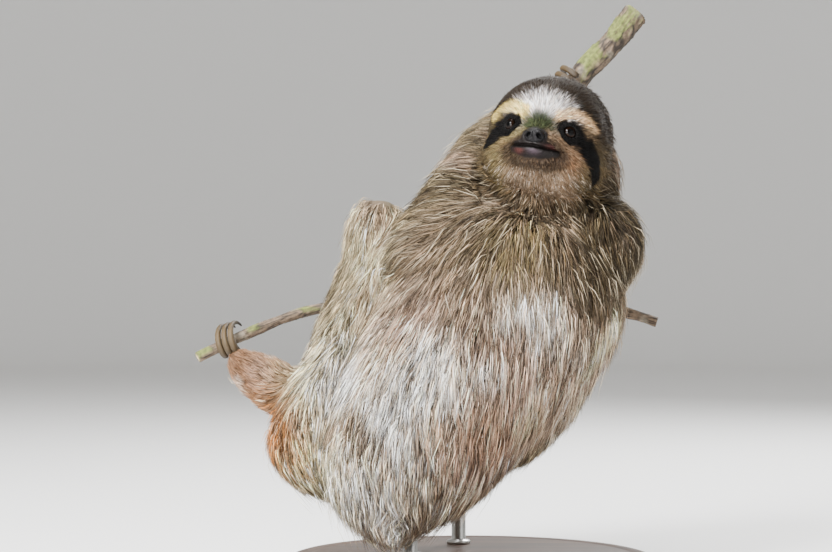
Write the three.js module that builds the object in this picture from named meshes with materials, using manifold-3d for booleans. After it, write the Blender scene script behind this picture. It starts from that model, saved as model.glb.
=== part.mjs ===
// A brown-throated three-toed sloth, life size, made as a still display model. Its back is toward
// the viewer and its head is turned round over it. Its hands and feet hook over a forked perch, cut
// from a branch, which a plain stand holds up.
//
// Millimetres, +Z up. +X is the animal's right, +Y the way its belly faces. The origin is the middle
// of the stand's underside. Sizes are to the tips of the coat.

import * as THREE from 'three';
import { mergeVertices } from 'three/addons/utils/BufferGeometryUtils.js';
import Module from 'manifold-3d';

const wasm = await Module();
wasm.setup();

const GAP = 0.3; // clearance between neighbouring pieces
const CROWD = 0.7; // how much the rings of a rounded piece gather toward its ends
const X_AXIS = new THREE.Vector3(1, 0, 0);
const Y_AXIS = new THREE.Vector3(0, 1, 0);
const Z_AXIS = new THREE.Vector3(0, 0, 1);
const DEG = Math.PI / 180;

// ---------------------------------------------------------------- driving sizes

const HEAD = {
  at: [64, 5, 352], // middle of the head
  turn: -15 * DEG, // round the upright axis, toward the animal's left
  lift: -12 * DEG, // chin raised
  lean: 9 * DEG, // the right eye is the lower one
  skull: { wide: 54, deep: 50, tall: 55 },
  muzzle: { at: [0, -34, -18], wide: 24, deep: 25, tall: 21 },
  cheek: { at: [25, -8, -24], wide: 27, deep: 34, tall: 27 },
  melt: 2, // how softly the muzzle and cheeks run into the skull
};
// In the head's own axes: +X its right, -Y ahead, +Z up.
const NOSE = { at: [0, -55, -14], wide: 8.8, deep: 5.4, tall: 6.6 };
const EYE = { at: [22.4, -39.5, -3.2], radius: 6.2 };

// Sections of the trunk, from the nape to the seat: its middle, half its width, half its depth.
const TRUNK = [
  { at: [66, 12, 298], wide: 60, deep: 30 },
  { at: [56, 10, 276], wide: 82, deep: 62 },
  { at: [40, 6, 238], wide: 98, deep: 76 },
  { at: [14, 4, 196], wide: 92, deep: 85 },
  { at: [-14, 0, 157], wide: 82, deep: 89 },
  { at: [-38, 0, 120], wide: 77, deep: 88 },
  { at: [-59, 2, 80], wide: 79, deep: 83 },
  { at: [-68, 6, 31], wide: 66, deep: 72 },
];

const BODY = {
  neck: { from: [73, 34, 276], to: [84, 38, 334], start: 48, end: 42 },
  tail: { from: [-50, -30, 74], to: [-60, -43, 42], start: 19, end: 12 },
};

// Joints of each limb. The claws hook over the perch at its grip.
const LIMBS = {
  left: {
    shoulder: [-30, -2, 248],
    elbow: [12, 58, 347],
    wrist: [58, 130, 389],
    knuckle: [82, 147, 405],
    knee: [-73, 38, 291],
    thigh: [-86, 30, 195],
    buttock: [-124, 22, 104],
    ankle: [-131, 58, 135],
    toes: [-186, 50, 169],
  },
  right: {
    shoulder: [98, 8, 269],
    elbow: [120, 106, 248],
    wrist: [92, 118, 330],
    knuckle: [76, 130, 350],
    knee: [100, 58, 211],
    thigh: [74, 36, 165],
    buttock: [25, 20, 120],
    ankle: [60, 112, 128],
    toes: [14, 106, 172],
  },
};

const GIRTH = {
  shoulder: 46,
  elbow: 24,
  wrist: 16,
  hand: { wide: 17, deep: 14 },
  knee: 22,
  thigh: 34,
  buttock: 46,
  hip: 40,
  ankle: 20,
  foot: { wide: 21, deep: 26 },
};

const BRANCH = {
  stem: [
    { at: [150, 172, 474], thick: 12.5 },
    { at: [123, 169, 442], thick: 11 },
    { at: [96, 165, 412], thick: 10.5 },
    { at: [71, 150, 371], thick: 10.5 },
    { at: [37, 130, 308], thick: 11 },
    { at: [10, 116, 248], thick: 12 },
    { at: [-3, 112, 205], thick: 12.5 },
    { at: [-7, 112, 142], thick: 12 },
  ],
  left: [
    { at: [-1, 113, 214], thick: 6 },
    { at: [-57, 108, 221], thick: 5.2 },
    { at: [-132, 88, 214], thick: 4.8 },
    { at: [-195, 62, 190], thick: 4.6 },
    { at: [-223, 52, 176], thick: 4.5 },
  ],
  right: [
    { at: [0, 113, 218], thick: 6 },
    { at: [76, 122, 221], thick: 5.4 },
    { at: [135, 119, 212], thick: 5 },
    { at: [162, 116, 204], thick: 4.6 },
  ],
};

// Half a claw's depth at its root and tip, and how far apart the claws of a hand and a foot are.
const CLAW = { root: 4, tip: 0.8, flat: 0.75, spacing: { hand: 7, foot: 6 } };

// Each paw's hold on the perch: a point on the branch's middle, the way the branch runs there, the
// side that the palm or sole is on, the way its claws set off, how far from the middle, in mm, and
// how far round, in degrees.
const HOLDS = {
  hand_left: {
    grip: [92, 162, 409], along: [0.65, 0.08, 0.76], palm: [-0.5, -0.85, 0], toward: Z_AXIS,
    reach: 15, sweep: 190,
  },
  hand_right: {
    grip: [62, 145, 356], along: [0.48, 0.25, 0.84], palm: [0.6, -0.75, -0.1], toward: X_AXIS,
    reach: 15, sweep: 190,
  },
  foot_left: {
    grip: [-195, 62, 190], along: [0.9, -0.38, 0.24], palm: [0.1, -0.8, -0.6], toward: Z_AXIS,
    reach: 13, sweep: 205,
  },
  foot_right: {
    grip: [-6, 112, 178], along: [-0.05, 0, 1], palm: [0.75, -0.65, 0], toward: Y_AXIS,
    reach: 17, sweep: 190,
  },
};

const STAND = {
  base: { radius: 150, thick: 16, edge: 3, at: [2, 26] },
  rod: { radius: 6, socket: 8 },
  perchRod: { at: [-7, 112], top: 165 },
  seatRod: { at: [-48, 22], top: 62 },
};

// ---------------------------------------------------------------- materials

const finish = (color, roughness, metalness = 0) =>
  new THREE.MeshStandardMaterial({ color, roughness, metalness });

const MATERIAL = {
  coat: finish('#8f7f6c', 0.95),
  face: finish('#b9a582', 0.95),
  nose: finish('#241d1a', 0.35),
  eye: finish('#1c0f0a', 0.08),
  claw: finish('#b39a5f', 0.45),
  bark: finish('#57483a', 0.9),
  base: finish('#3b2a1e', 0.45),
  rod: finish('#9a9a98', 0.35, 1),
};

// ---------------------------------------------------------------- solids

function welded(geometry) {
  geometry.deleteAttribute('normal');
  geometry.deleteAttribute('uv');
  return mergeVertices(geometry, 1e-4);
}

// Every face moved out along the surface by the clearance, for cutting a neighbour.
function grown(geometry) {
  const wider = welded(geometry.clone());
  wider.computeVertexNormals();
  const { position, normal } = wider.attributes;
  const point = new THREE.Vector3();
  const step = new THREE.Vector3();
  for (let i = 0; i < position.count; i += 1) {
    step.fromBufferAttribute(normal, i).multiplyScalar(GAP);
    point.fromBufferAttribute(position, i).add(step);
    position.setXYZ(i, point.x, point.y, point.z);
  }
  return wider;
}

function toSolid(geometry) {
  const shell = welded(geometry.clone());
  return new wasm.Manifold(new wasm.Mesh({
    numProp: 3,
    vertProperties: new Float32Array(shell.attributes.position.array),
    triVerts: new Uint32Array(shell.index.array),
  }));
}

function toGeometry(solid) {
  const mesh = solid.getMesh();
  const geometry = new THREE.BufferGeometry();
  geometry.setAttribute('position', new THREE.BufferAttribute(mesh.vertProperties, 3));
  geometry.setIndex(new THREE.BufferAttribute(mesh.triVerts, 1));
  geometry.computeVertexNormals();
  return geometry;
}

// ---------------------------------------------------------------- shapes

const vector = (point) => new THREE.Vector3(...point);
const otherSide = ([x, y, z]) => [-x, y, z];

// A smooth value between evenly spaced ones.
function between(values, t) {
  const curve = new THREE.CatmullRomCurve3(values.map(([a, b]) => new THREE.Vector3(a, b, 0)));
  return curve.getPoint(t);
}

// A unit sphere or cylinder bent along a spine. Each station gives the spine's place and the half
// width and half depth there. A sphere's rings crowd toward its ends, which close as
// sqrt(1 - |x|^blunt), so a high value squares them off.
function bend(base, stations, facing, blunt) {
  const spine = new THREE.CatmullRomCurve3(stations.map(({ at }) => vector(at)));
  const sizes = stations.map(({ wide, deep }) => [wide, deep]);
  const geometry = welded(base);
  const { position } = geometry.attributes;
  const point = new THREE.Vector3();
  for (let i = 0; i < position.count; i += 1) {
    point.fromBufferAttribute(position, i);
    const [t, profile] = blunt ? roundEnded(point.y, blunt) : [(1 - point.y) / 2, 1];
    const ring = Math.hypot(point.x, point.z);
    const spread = ring > 1e-6 ? (blunt ? profile / ring : 1) : 0;
    const tangent = spine.getTangent(t);
    const depthward = new THREE.Vector3().crossVectors(tangent, facing).normalize();
    const sideways = new THREE.Vector3().crossVectors(depthward, tangent);
    const size = between(sizes, t);
    const place = spine.getPoint(t)
      .addScaledVector(sideways, point.x * spread * size.x)
      .addScaledVector(depthward, point.z * spread * size.y);
    position.setXYZ(i, place.x, place.y, place.z);
  }
  return geometry;
}

// Where a ring of the unit sphere goes along the spine, and how wide it is there.
function roundEnded(height, blunt) {
  const turn = Math.acos(THREE.MathUtils.clamp(height, -1, 1)) / Math.PI;
  const t = turn - CROWD * Math.sin(2 * Math.PI * turn) / (2 * Math.PI);
  return [t, Math.sqrt(Math.max(0, 1 - Math.abs(2 * t - 1) ** blunt))];
}

function flesh(stations, { sides = 12, rings = 8, facing = X_AXIS, blunt = 4 } = {}) {
  return bend(new THREE.SphereGeometry(1, sides, rings), stations, facing, blunt);
}

// A limb between joints, rounded past each end by most of its thickness there.
function limb(joints, girths, options) {
  const stations = joints.map((at, i) => ({ at: [...at], wide: girths[i], deep: girths[i] }));
  const reach = (end, inner) => {
    const out = vector(end.at).sub(vector(inner.at)).setLength(end.wide * 0.8);
    return { ...end, at: vector(end.at).add(out).toArray() };
  };
  const first = reach(stations[0], stations[1]);
  const last = reach(stations.at(-1), stations.at(-2));
  return flesh([first, ...stations, last], options);
}

// A hand or foot: a flat pad from the wrist or ankle to where the claws leave it.
function paw(from, to, { wide, deep }, facing) {
  const start = vector(from);
  const end = vector(to);
  const out = end.clone().sub(start);
  const stations = [-0.25, 0.2, 0.7, 1.2].map((share, i) => ({
    at: start.clone().addScaledVector(out, share).toArray(),
    wide: wide * [0.95, 1.05, 1, 0.85][i],
    deep: deep * [1.1, 1, 0.85, 0.7][i],
  }));
  return flesh(stations, { sides: 10, rings: 8, facing });
}

function branch(stations, sides, steps) {
  const even = stations.map(({ at, thick }) => ({ at, wide: thick, deep: thick }));
  const rod = new THREE.CylinderGeometry(1, 1, 2, sides, steps);
  return bend(rod, even, Y_AXIS);
}

// How far a ray from the head's middle runs before it leaves an ellipsoid, or 0 if it misses.
function rayThrough(ray, { at, wide, deep, tall }) {
  const scaled = new THREE.Vector3(ray.x / wide, ray.y / deep, ray.z / tall);
  const centre = new THREE.Vector3(at[0] / wide, at[1] / deep, at[2] / tall);
  const a = scaled.lengthSq();
  const b = scaled.dot(centre);
  const c = centre.lengthSq() - 1;
  const inside = b * b - a * c;
  return inside > 0 ? Math.max(0, (b + Math.sqrt(inside)) / a) : 0;
}

function softMax(values, width) {
  const top = Math.max(...values);
  return top + width * Math.log(values.reduce((sum, v) => sum + Math.exp((v - top) / width), 0));
}

function headShape() {
  const { skull, muzzle, cheek, melt } = HEAD;
  const lumps = [{ at: [0, 0, 0], ...skull }, muzzle, cheek, { ...cheek, at: otherSide(cheek.at) }];
  const geometry = welded(new THREE.SphereGeometry(1, 24, 18).rotateX(Math.PI / 2));
  const { position } = geometry.attributes;
  const ray = new THREE.Vector3();
  for (let i = 0; i < position.count; i += 1) {
    ray.fromBufferAttribute(position, i).normalize();
    ray.multiplyScalar(softMax(lumps.map((lump) => rayThrough(ray, lump)), melt));
    position.setXYZ(i, ray.x, ray.y, ray.z);
  }
  return inHeadPlace(geometry);
}

// From the head's own axes to where the turned head is.
function inHeadPlace(geometry) {
  const pose = new THREE.Matrix4().makeRotationY(HEAD.lean)
    .multiply(new THREE.Matrix4().makeRotationZ(HEAD.turn))
    .multiply(new THREE.Matrix4().makeRotationX(HEAD.lift));
  return geometry.applyMatrix4(pose).translate(...HEAD.at);
}

function inHead({ at, wide, deep, tall }, sides, rings) {
  const ball = new THREE.SphereGeometry(1, sides, rings).rotateX(Math.PI / 2);
  return inHeadPlace(ball.scale(wide, deep, tall).translate(...at));
}

function eyeShape(at) {
  const { radius } = EYE;
  return inHead({ at, wide: radius, deep: radius, tall: radius }, 10, 6);
}

// One claw: a tapered hook round the branch, rooted in the paw.
function clawShape({ grip, along, palm, toward, reach, sweep }, offset) {
  const axis = vector(along).normalize();
  const start = vector(palm).projectOnPlane(axis).normalize();
  const over = new THREE.Vector3().crossVectors(axis, start);
  if (over.dot(toward) < 0) over.negate();
  const middle = vector(grip).addScaledVector(axis, offset);
  const stations = Array.from({ length: 8 }, (_, i) => {
    const share = i / 7;
    const angle = (share * sweep - 25) * DEG;
    const far = reach * (1 + 0.12 * share);
    const half = THREE.MathUtils.lerp(CLAW.root, CLAW.tip, share ** 1.4);
    const at = middle.clone()
      .addScaledVector(start, Math.cos(angle) * far)
      .addScaledVector(over, Math.sin(angle) * far);
    return { at: at.toArray(), wide: half * CLAW.flat, deep: half };
  });
  return flesh(stations, { sides: 6, rings: 8, facing: axis, blunt: 3 });
}

function rodShape({ at, top }) {
  const foot = STAND.base.thick - STAND.rod.socket;
  const rod = new THREE.CylinderGeometry(STAND.rod.radius, STAND.rod.radius, top - foot, 12);
  return rod.rotateX(Math.PI / 2).translate(at[0], at[1], (top + foot) / 2);
}

function baseShape() {
  const { radius, thick, edge, at } = STAND.base;
  const outline = [[0, 0], [radius - edge, 0], [radius, edge], [radius, thick - edge],
    [radius - edge, thick], [0, thick]].map(([x, y]) => new THREE.Vector2(x, y));
  return new THREE.LatheGeometry(outline, 32).rotateX(Math.PI / 2).translate(at[0], at[1], 0);
}

// ---------------------------------------------------------------- the pieces, firmest first

const pieces = [];
const add = (name, material, geometry) => pieces.push({ name, material, geometry });

add('stand_rod_perch', 'rod', rodShape(STAND.perchRod));
add('stand_rod_seat', 'rod', rodShape(STAND.seatRod));
add('stand_base', 'base', baseShape());

add('perch_stem', 'bark', branch(BRANCH.stem, 10, 16));
add('perch_twig_left', 'bark', branch(BRANCH.left, 8, 10));
add('perch_twig_right', 'bark', branch(BRANCH.right, 8, 8));

add('eye_left', 'eye', eyeShape(otherSide(EYE.at)));
add('eye_right', 'eye', eyeShape(EYE.at));
add('nose', 'nose', inHead(NOSE, 10, 8));
add('head', 'face', headShape());

add('trunk', 'coat', flesh(TRUNK, { sides: 24, rings: 18, blunt: 3.6 }));
const { neck, tail } = BODY;
add('neck', 'coat', limb([neck.from, neck.to], [neck.start, neck.end]));
add('tail', 'coat', limb([tail.from, tail.to], [tail.start, tail.end], { sides: 8 }));

for (const [side, joint] of Object.entries(LIMBS)) {
  const rump = side === 'left' ? GIRTH.buttock : GIRTH.hip;
  add(`thigh_${side}`, 'coat', limb([joint.knee, joint.thigh, joint.buttock],
    [GIRTH.knee, GIRTH.thigh, rump], { sides: 14, rings: 11 }));
  add(`upper_arm_${side}`, 'coat', limb([joint.shoulder, joint.elbow],
    [GIRTH.shoulder, GIRTH.elbow], { facing: Y_AXIS }));
  add(`forearm_${side}`, 'coat', limb([joint.elbow, joint.wrist],
    [GIRTH.elbow, GIRTH.wrist], { facing: side === 'left' ? Z_AXIS : Y_AXIS }));
  add(`shank_${side}`, 'coat', limb([joint.knee, joint.ankle], [GIRTH.knee - 2, GIRTH.ankle]));
  for (const [end, root, tip] of [['hand', joint.wrist, joint.knuckle],
    ['foot', joint.ankle, joint.toes]]) {
    const hold = HOLDS[`${end}_${side}`];
    add(`${end}_${side}`, 'coat', paw(root, tip, GIRTH[end], vector(hold.along)));
    for (const digit of [-1, 0, 1]) {
      const offset = digit * CLAW.spacing[end];
      add(`claw_${end}_${side}_${digit + 2}`, 'claw', clawShape(hold, offset));
    }
  }
}

// ---------------------------------------------------------------- cutting and assembly

// Each piece gives way to the firmer ones before it that it meets.
const sloth = new THREE.Group();
const firmer = [];
for (const { name, material, geometry } of pieces) {
  geometry.computeBoundingBox();
  let solid = toSolid(geometry);
  for (const other of firmer) {
    if (other.box.intersectsBox(geometry.boundingBox)) solid = solid.subtract(other.wider);
  }
  const whole = solid.decompose().sort((a, b) => b.volume() - a.volume())[0];
  firmer.push({ box: geometry.boundingBox.clone().expandByScalar(GAP), wider: toSolid(grown(geometry)) });
  const mesh = new THREE.Mesh(toGeometry(whole), MATERIAL[material]);
  mesh.name = name;
  sloth.add(mesh);
}
sloth.position.set(-STAND.base.at[0], -STAND.base.at[1], 0);

export default sloth;
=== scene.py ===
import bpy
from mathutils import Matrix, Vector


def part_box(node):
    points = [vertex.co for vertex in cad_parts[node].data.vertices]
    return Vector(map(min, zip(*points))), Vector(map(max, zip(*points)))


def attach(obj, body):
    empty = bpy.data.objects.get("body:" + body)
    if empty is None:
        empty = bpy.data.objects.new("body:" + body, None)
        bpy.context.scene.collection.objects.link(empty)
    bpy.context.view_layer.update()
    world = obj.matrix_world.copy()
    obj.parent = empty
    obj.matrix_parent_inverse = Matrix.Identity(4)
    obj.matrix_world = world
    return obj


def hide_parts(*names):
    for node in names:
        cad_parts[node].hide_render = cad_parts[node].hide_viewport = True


bl_info = {
    "name": "Three-toed sloth on a forked perch",
    "version": (1, 0, 0),
    "blender": (4, 5, 0),
    "location": "View3D > Sidebar > Sloth",
    "description": "Skin, coat, face, claws, perch and stand of a life-size display model",
    "category": "Add Mesh",
}

import math

import bmesh
import bpy
import numpy as np

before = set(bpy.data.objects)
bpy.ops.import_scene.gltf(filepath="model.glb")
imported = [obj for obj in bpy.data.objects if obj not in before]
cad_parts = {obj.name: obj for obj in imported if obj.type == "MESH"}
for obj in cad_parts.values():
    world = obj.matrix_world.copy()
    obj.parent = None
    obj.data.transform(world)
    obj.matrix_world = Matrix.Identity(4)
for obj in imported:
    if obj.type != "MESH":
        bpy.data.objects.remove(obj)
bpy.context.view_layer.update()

# Every length in this file is in millimetres until a mesh is made.
MM = 0.001
SHIFT = np.array([-2.0, -26.0, 0.0])  # from the animal's own axes to the middle of the stand

# ---------------------------------------------------------------- the animal's own sizes

SIDES = ("left", "right")
FLESH = ["head", "neck", "trunk", "tail"] + [
    f"{part}_{side}"
    for side in SIDES
    for part in ("thigh", "upper_arm", "forearm", "shank", "hand", "foot")
]
PAWS = [f"{end}_{side}" for side in SIDES for end in ("hand", "foot")]
# The coat on each part of the body: its depth, a lock's length and width, and locks in a
# square centimetre.
COAT = {
    "head": (7.0, 13.0, 0.6, 92),
    "neck": (10.0, 27.0, 0.66, 86),
    "trunk": (12.0, 34.0, 0.68, 82),
    "tail": (6.0, 20.0, 0.66, 84),
    "thigh": (9.0, 28.0, 0.66, 82),
    "upper_arm": (9.0, 26.0, 0.66, 82),
    "forearm": (6.0, 19.0, 0.62, 88),
    "shank": (6.0, 18.0, 0.62, 90),
    "hand": (3.0, 8.0, 0.52, 100),
    "foot": (3.6, 9.0, 0.52, 100),
}
# Which way the hair lies on each part, before it is laid along the skin.
LIE = {
    "neck": (0.0, -0.2, -1.0),
    "trunk": (-0.12, 0.0, -1.0),
    "tail": (-0.1, 0.0, -1.0),
    "thigh_left": (-0.2, 0.0, -1.0),
    "thigh_right": (-0.5, -0.25, -0.85),
    "upper_arm_left": (-0.95, 0.1, -0.35),
    "upper_arm_right": (0.1, 0.45, -0.85),
    "forearm_left": (-0.8, -0.2, -0.35),
    "forearm_right": (0.15, 0.0, -1.0),
    "shank_left": (-0.35, 0.1, -0.9),
    "shank_right": (-0.3, 0.4, -0.8),
    "hand_left": (0.5, 0.3, 0.4),
    "hand_right": (-0.4, 0.3, 0.6),
    "foot_left": (-0.8, 0.0, 0.45),
    "foot_right": (-0.7, 0.0, 0.65),
}

# In the head's own axes: +X toward the body's right, -Y ahead, +Z up. The head looks back over
# the shoulders, so this is the side of the animal's own left eye.
EYE_AT = np.array([22.4, -39.5, -3.2])
NOSE_AT = np.array([0.0, -55.0, -14.0])
NOSE_HALF = np.array([8.3, 5.4, 6.3])  # half its width, depth and height
EYE_RADIUS = 6.2
EYE_OPEN = (5.4, 4.3)  # half the width and height of the opening between its lids
LIPS_HALF, PAD_HALF = (20.0, 7.4), (10.5, 7.8)  # the naked skin round the mouth and the nose
LIPS_Z = -23.0
FRONT = -20  # ahead of this lie the eyes, the nose and the mouth
LUMPS = [  # the skull, the muzzle and both cheeks: where, and half their width, depth, height
    ((0, 0, 0), (54, 50, 55)),
    ((0, -34, -18), (24, 25, 21)),
    ((25, -8, -24), (27, 34, 27)),
    ((-25, -8, -24), (27, 34, 27)),
]
MELT = 2.0  # over how much of a run two lumps melt into each other
# The dark stripe from the eye down the cheek: its middle line and half its width.
STRIPE = np.array([[15, -50, -2], [24, -45, -3.5], [33, -40, -9], [41, -33, -16.5],
                   [46, -26, -25], [48, -15, -32]], float)
STRIPE_HALF = np.array([4.5, 7.8, 8.4, 8.8, 8.0, 6.0])
BROW = np.array([[14, -47, 6], [22, -44, 10.5], [31, -40, 10], [39, -33, 4]], float)
NOSE_FOLD = np.array([[10, -53, -12], [17, -50, -17], [24, -44, -21.0]], float)
# The mouth's height, at distances to either side of the middle.
MOUTH_X = [0.0, 10.5, 21.0, 26.0]
MOUTH_Z = [-22.8, -23.0, -21.2, -19.5]

# Where the hair of the belly and back draws together, far below the seat.
SEAT = np.array([-58.0, -36.0, -150.0])

# The perch: middle line and half thickness.
STEM = [((150, 172, 474), 12.5), ((123, 169, 442), 11), ((96, 165, 412), 10.5),
        ((71, 150, 371), 10.5), ((37, 130, 308), 11), ((10, 116, 248), 12),
        ((-3, 112, 205), 12.5), ((-7, 112, 142), 12)]
TWIG_LEFT = [((-1, 113, 214), 6), ((-57, 108, 221), 5.2), ((-132, 88, 214), 4.8),
             ((-195, 62, 190), 4.6), ((-223, 52, 176), 4.5)]
TWIG_RIGHT = [((0, 113, 218), 6), ((76, 122, 221), 5.4), ((135, 119, 212), 5),
              ((162, 116, 204), 4.6)]

# Each paw's hold: a point on the branch, the way the branch runs, the side the palm is on, the
# way the claws set off, how far from the middle they run and how far round, in degrees.
HOLDS = {
    "hand_left": ((92, 162, 409), (0.65, 0.08, 0.76), (-0.5, -0.85, 0), (0, 0, 1), 15, 190),
    "hand_right": ((62, 145, 356), (0.48, 0.25, 0.84), (0.6, -0.75, -0.1), (1, 0, 0), 15, 190),
    "foot_left": ((-195, 62, 190), (0.9, -0.38, 0.24), (0.1, -0.8, -0.6), (0, 0, 1), 13, 205),
    "foot_right": ((-6, 112, 178), (-0.05, 0, 1), (0.75, -0.65, 0), (0, 1, 0), 17, 190),
}
CLAW_SPACING = {"hand": 7, "foot": 6}
CLAW_HALF = (4.0, 0.8)  # half a claw's depth at its root and at its tip
CLAW_START = 25  # degrees that a claw's arc begins before the palm's side

# The stand: the base's radius and height, and each rod's place and top.
BASE_RADIUS, BASE_HEIGHT = 150.0, 16.0
RODS = (("perch", (-7, 112), 165), ("seat", (-48, 22), 62))

# The stage: how far the floor is level, how round its bend to the backdrop is, the backdrop's
# top, where the lights are aimed, and each light's name, place, width and watts.
LEVEL, BEND, BACKDROP_TOP = 4200, 1500, 3400
AIM = np.array([-20.0, 0.0, 230.0])
LIGHTS = (("key", (-1000, -1300, 1500), 700, 114), ("low", (-900, -1500, 470), 860, 52),
          ("fill", (1600, -1200, 700), 1200, 6), ("rim", (800, 1300, 1400), 700, 60),
          ("top", (-100, 100, 1900), 700, 34))
CAMERA_AT = (-0.0452, -1.826, 0.2432)  # in metres
VIEW_WIDE, VIEW_FAR = 665.6, 1800  # what fills the view from side to side, and how far off


# ---------------------------------------------------------------- small helpers

def unit(v):
    """Each vector over its own length."""
    return v / np.maximum(np.linalg.norm(v, axis=-1, keepdims=True), 1e-9)


def smooth(a, b, x):
    """0 before a, 1 after b, and 3t^2 - 2t^3 between."""
    t = np.clip((x - a) / (b - a), 0, 1)
    return t * t * (3 - 2 * t)


def bell(x, wide):
    """exp(-(x / wide)^2): 1 at 0, and almost nothing two widths away."""
    return np.exp(-(x / wide) ** 2)


def spot(x, z, at, half):
    """A bell in two directions round a place, with its own width in each."""
    return np.exp(-(((x - at[0]) / half[0]) ** 2 + ((z - at[1]) / half[1]) ** 2))


def tone(code):
    """A linear colour from a web colour such as #8f7f6c."""
    c = np.array([int(code[i:i + 2], 16) for i in (1, 3, 5)]) / 255
    return np.where(c <= 0.04045, c / 12.92, ((c + 0.055) / 1.055) ** 2.4)


WAVES = 14  # in a ripple


def ripple(points, size, seed):
    """Smooth noise of mean 0 and spread about 1: a sum of sine waves, each of about that
    wavelength and running its own way."""
    rng = np.random.default_rng(seed)
    way = unit(rng.normal(size=(WAVES, 3))) * rng.uniform(0.6, 1.7, (WAVES, 1))
    phase = rng.uniform(0, 2 * math.pi, WAVES)
    return np.sin(points @ (way * 2 * math.pi / size).T + phase).sum(1) / math.sqrt(WAVES / 2)


def middle(node):
    """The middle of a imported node's box: half the sum of its two corners."""
    low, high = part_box(node)
    return (np.array(low) + np.array(high)) / (2 * MM)


def line_distance(points, line):
    """Distance of each point from a line of straight lengths, and how far along it is, 0 to 1."""
    best = np.full(len(points), 1e9)
    along = np.zeros(len(points))
    for i, (a, b) in enumerate(zip(line[:-1], line[1:])):
        t = np.clip((points - a) @ (b - a) / ((b - a) @ (b - a)), 0, 1)
        d = np.linalg.norm(points - a - t[:, None] * (b - a), axis=1)
        near = d < best
        best = np.where(near, d, best)
        along = np.where(near, (i + t) / (len(line) - 1), along)
    return best, along


def mix(a, b, share):
    """a + (b - a) share, for vectors or colours with a share each."""
    return a + (b - a) * np.asarray(share)[..., None]


def chance(share, luck):
    """Which locks take a colour that a share of them have: near 1 where the share is above a
    lock's luck, near 0 where it is below."""
    return smooth(-0.16, 0.16, share - luck) * smooth(0.0, 0.12, share)


def share_of(weights, *names):
    """How much of each point belongs to the named parts: the sum of their weights."""
    return weights[:, [FLESH.index(name) for name in names]].sum(1)


# ---------------------------------------------------------------- meshes as whole arrays

def cloud_of(name, points):
    """An object at the origin of loose points, in millimetres."""
    mesh = bpy.data.meshes.new(name)
    mesh.vertices.add(len(points))
    mesh.vertices.foreach_set("co", (np.asarray(points) * MM).astype(np.float32).ravel())
    thing = bpy.data.objects.new(name, mesh)
    bpy.context.scene.collection.objects.link(thing)
    return thing


def make_mesh(name, points, faces, material=None):
    """An object at the origin from points in millimetres and triangles."""
    thing = cloud_of(name, points)
    mesh = thing.data
    faces = np.asarray(faces, np.int32)
    mesh.loops.add(faces.size)
    mesh.loops.foreach_set("vertex_index", faces.ravel())
    mesh.polygons.add(len(faces))
    mesh.polygons.foreach_set("loop_start", np.arange(0, faces.size, 3, dtype=np.int32))
    mesh.polygons.foreach_set("use_smooth", np.ones(len(faces), bool))
    mesh.update(calc_edges=True)
    mesh.validate()
    if material:
        mesh.materials.append(material)
    return thing


def arrays(mesh):
    """Points in millimetres and triangles of a mesh."""
    points = np.zeros(len(mesh.vertices) * 3, np.float32)
    mesh.vertices.foreach_get("co", points)
    mesh.calc_loop_triangles()
    faces = np.zeros(len(mesh.loop_triangles) * 3, np.int32)
    mesh.loop_triangles.foreach_get("vertices", faces)
    return points.reshape(-1, 3).astype(float) / MM, faces.reshape(-1, 3)


def merged(points, faces):
    """The same surface with points at one place made one."""
    _, first, back = np.unique(np.round(points, 3), axis=0, return_index=True,
                               return_inverse=True)
    faces = back.reshape(-1)[faces]
    whole = (faces[:, 0] != faces[:, 1]) & (faces[:, 1] != faces[:, 2])
    whole &= faces[:, 0] != faces[:, 2]
    return points[first], faces[whole]


def outward(points, faces):
    """Turns a closed surface's faces over if its volume comes out negative."""
    a, b, c = points[faces].transpose(1, 0, 2)
    return faces if (np.cross(a, b) * c).sum() > 0 else faces[:, ::-1]


def put(mesh, name, values, kind="FLOAT_COLOR"):
    """Stores a value for each point under a name: a colour, a vector or a single number."""
    field = {"FLOAT_COLOR": "color", "FLOAT_VECTOR": "vector", "FLOAT": "value"}[kind]
    if kind == "FLOAT_COLOR":
        values = np.concatenate([values, np.ones((len(values), 1))], axis=1)
    attribute = mesh.attributes.new(name, kind, "POINT")
    attribute.data.foreach_set(field, np.asarray(values, np.float32).ravel())


def inset(flat):
    """Places on the unwrap drawn in from its edges: 0.992 of each, plus 0.004."""
    return flat * 0.992 + 0.004


def put_unwrap(mesh, corners):
    """Stores each corner's place on the unwrap as a map named OFBake."""
    mesh.uv_layers.new(name="OFBake").data.foreach_set("uv", corners.astype(np.float32).ravel())


def ring_faces(rows, columns):
    """Triangles between closed rings of points, row after row, with both ends fanned to the
    last two points."""
    i, j = np.meshgrid(np.arange(rows - 1), np.arange(columns), indexing="ij")
    k = (j + 1) % columns
    a, b, c, d = i * columns + j, i * columns + k, (i + 1) * columns + k, (i + 1) * columns + j
    body = np.stack([np.stack([a, b, c], -1), np.stack([a, c, d], -1)], 2).reshape(-1, 3)
    j = np.arange(columns)
    k = (j + 1) % columns
    start, end = rows * columns, rows * columns + 1
    foot = np.stack([k, j, np.full(columns, start)], 1)
    last = (rows - 1) * columns
    top = np.stack([last + j, last + k, np.full(columns, end)], 1)
    return np.concatenate([body, foot, top])


def turned(profile, columns):
    """Rings round the upright axis from (radius, height) pairs."""
    profile = np.array(profile, float)
    around = np.linspace(0, 2 * math.pi, columns, endpoint=False)
    return np.stack([profile[:, :1] * np.cos(around), profile[:, :1] * np.sin(around),
                     profile[:, 1:] + 0 * around], -1)


def with_ends(rings):
    """The rings' points one after another, then the middles of the first and last ring."""
    return np.concatenate([rings.reshape(-1, 3), rings[:1].mean(1), rings[-1:].mean(1)])


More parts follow.
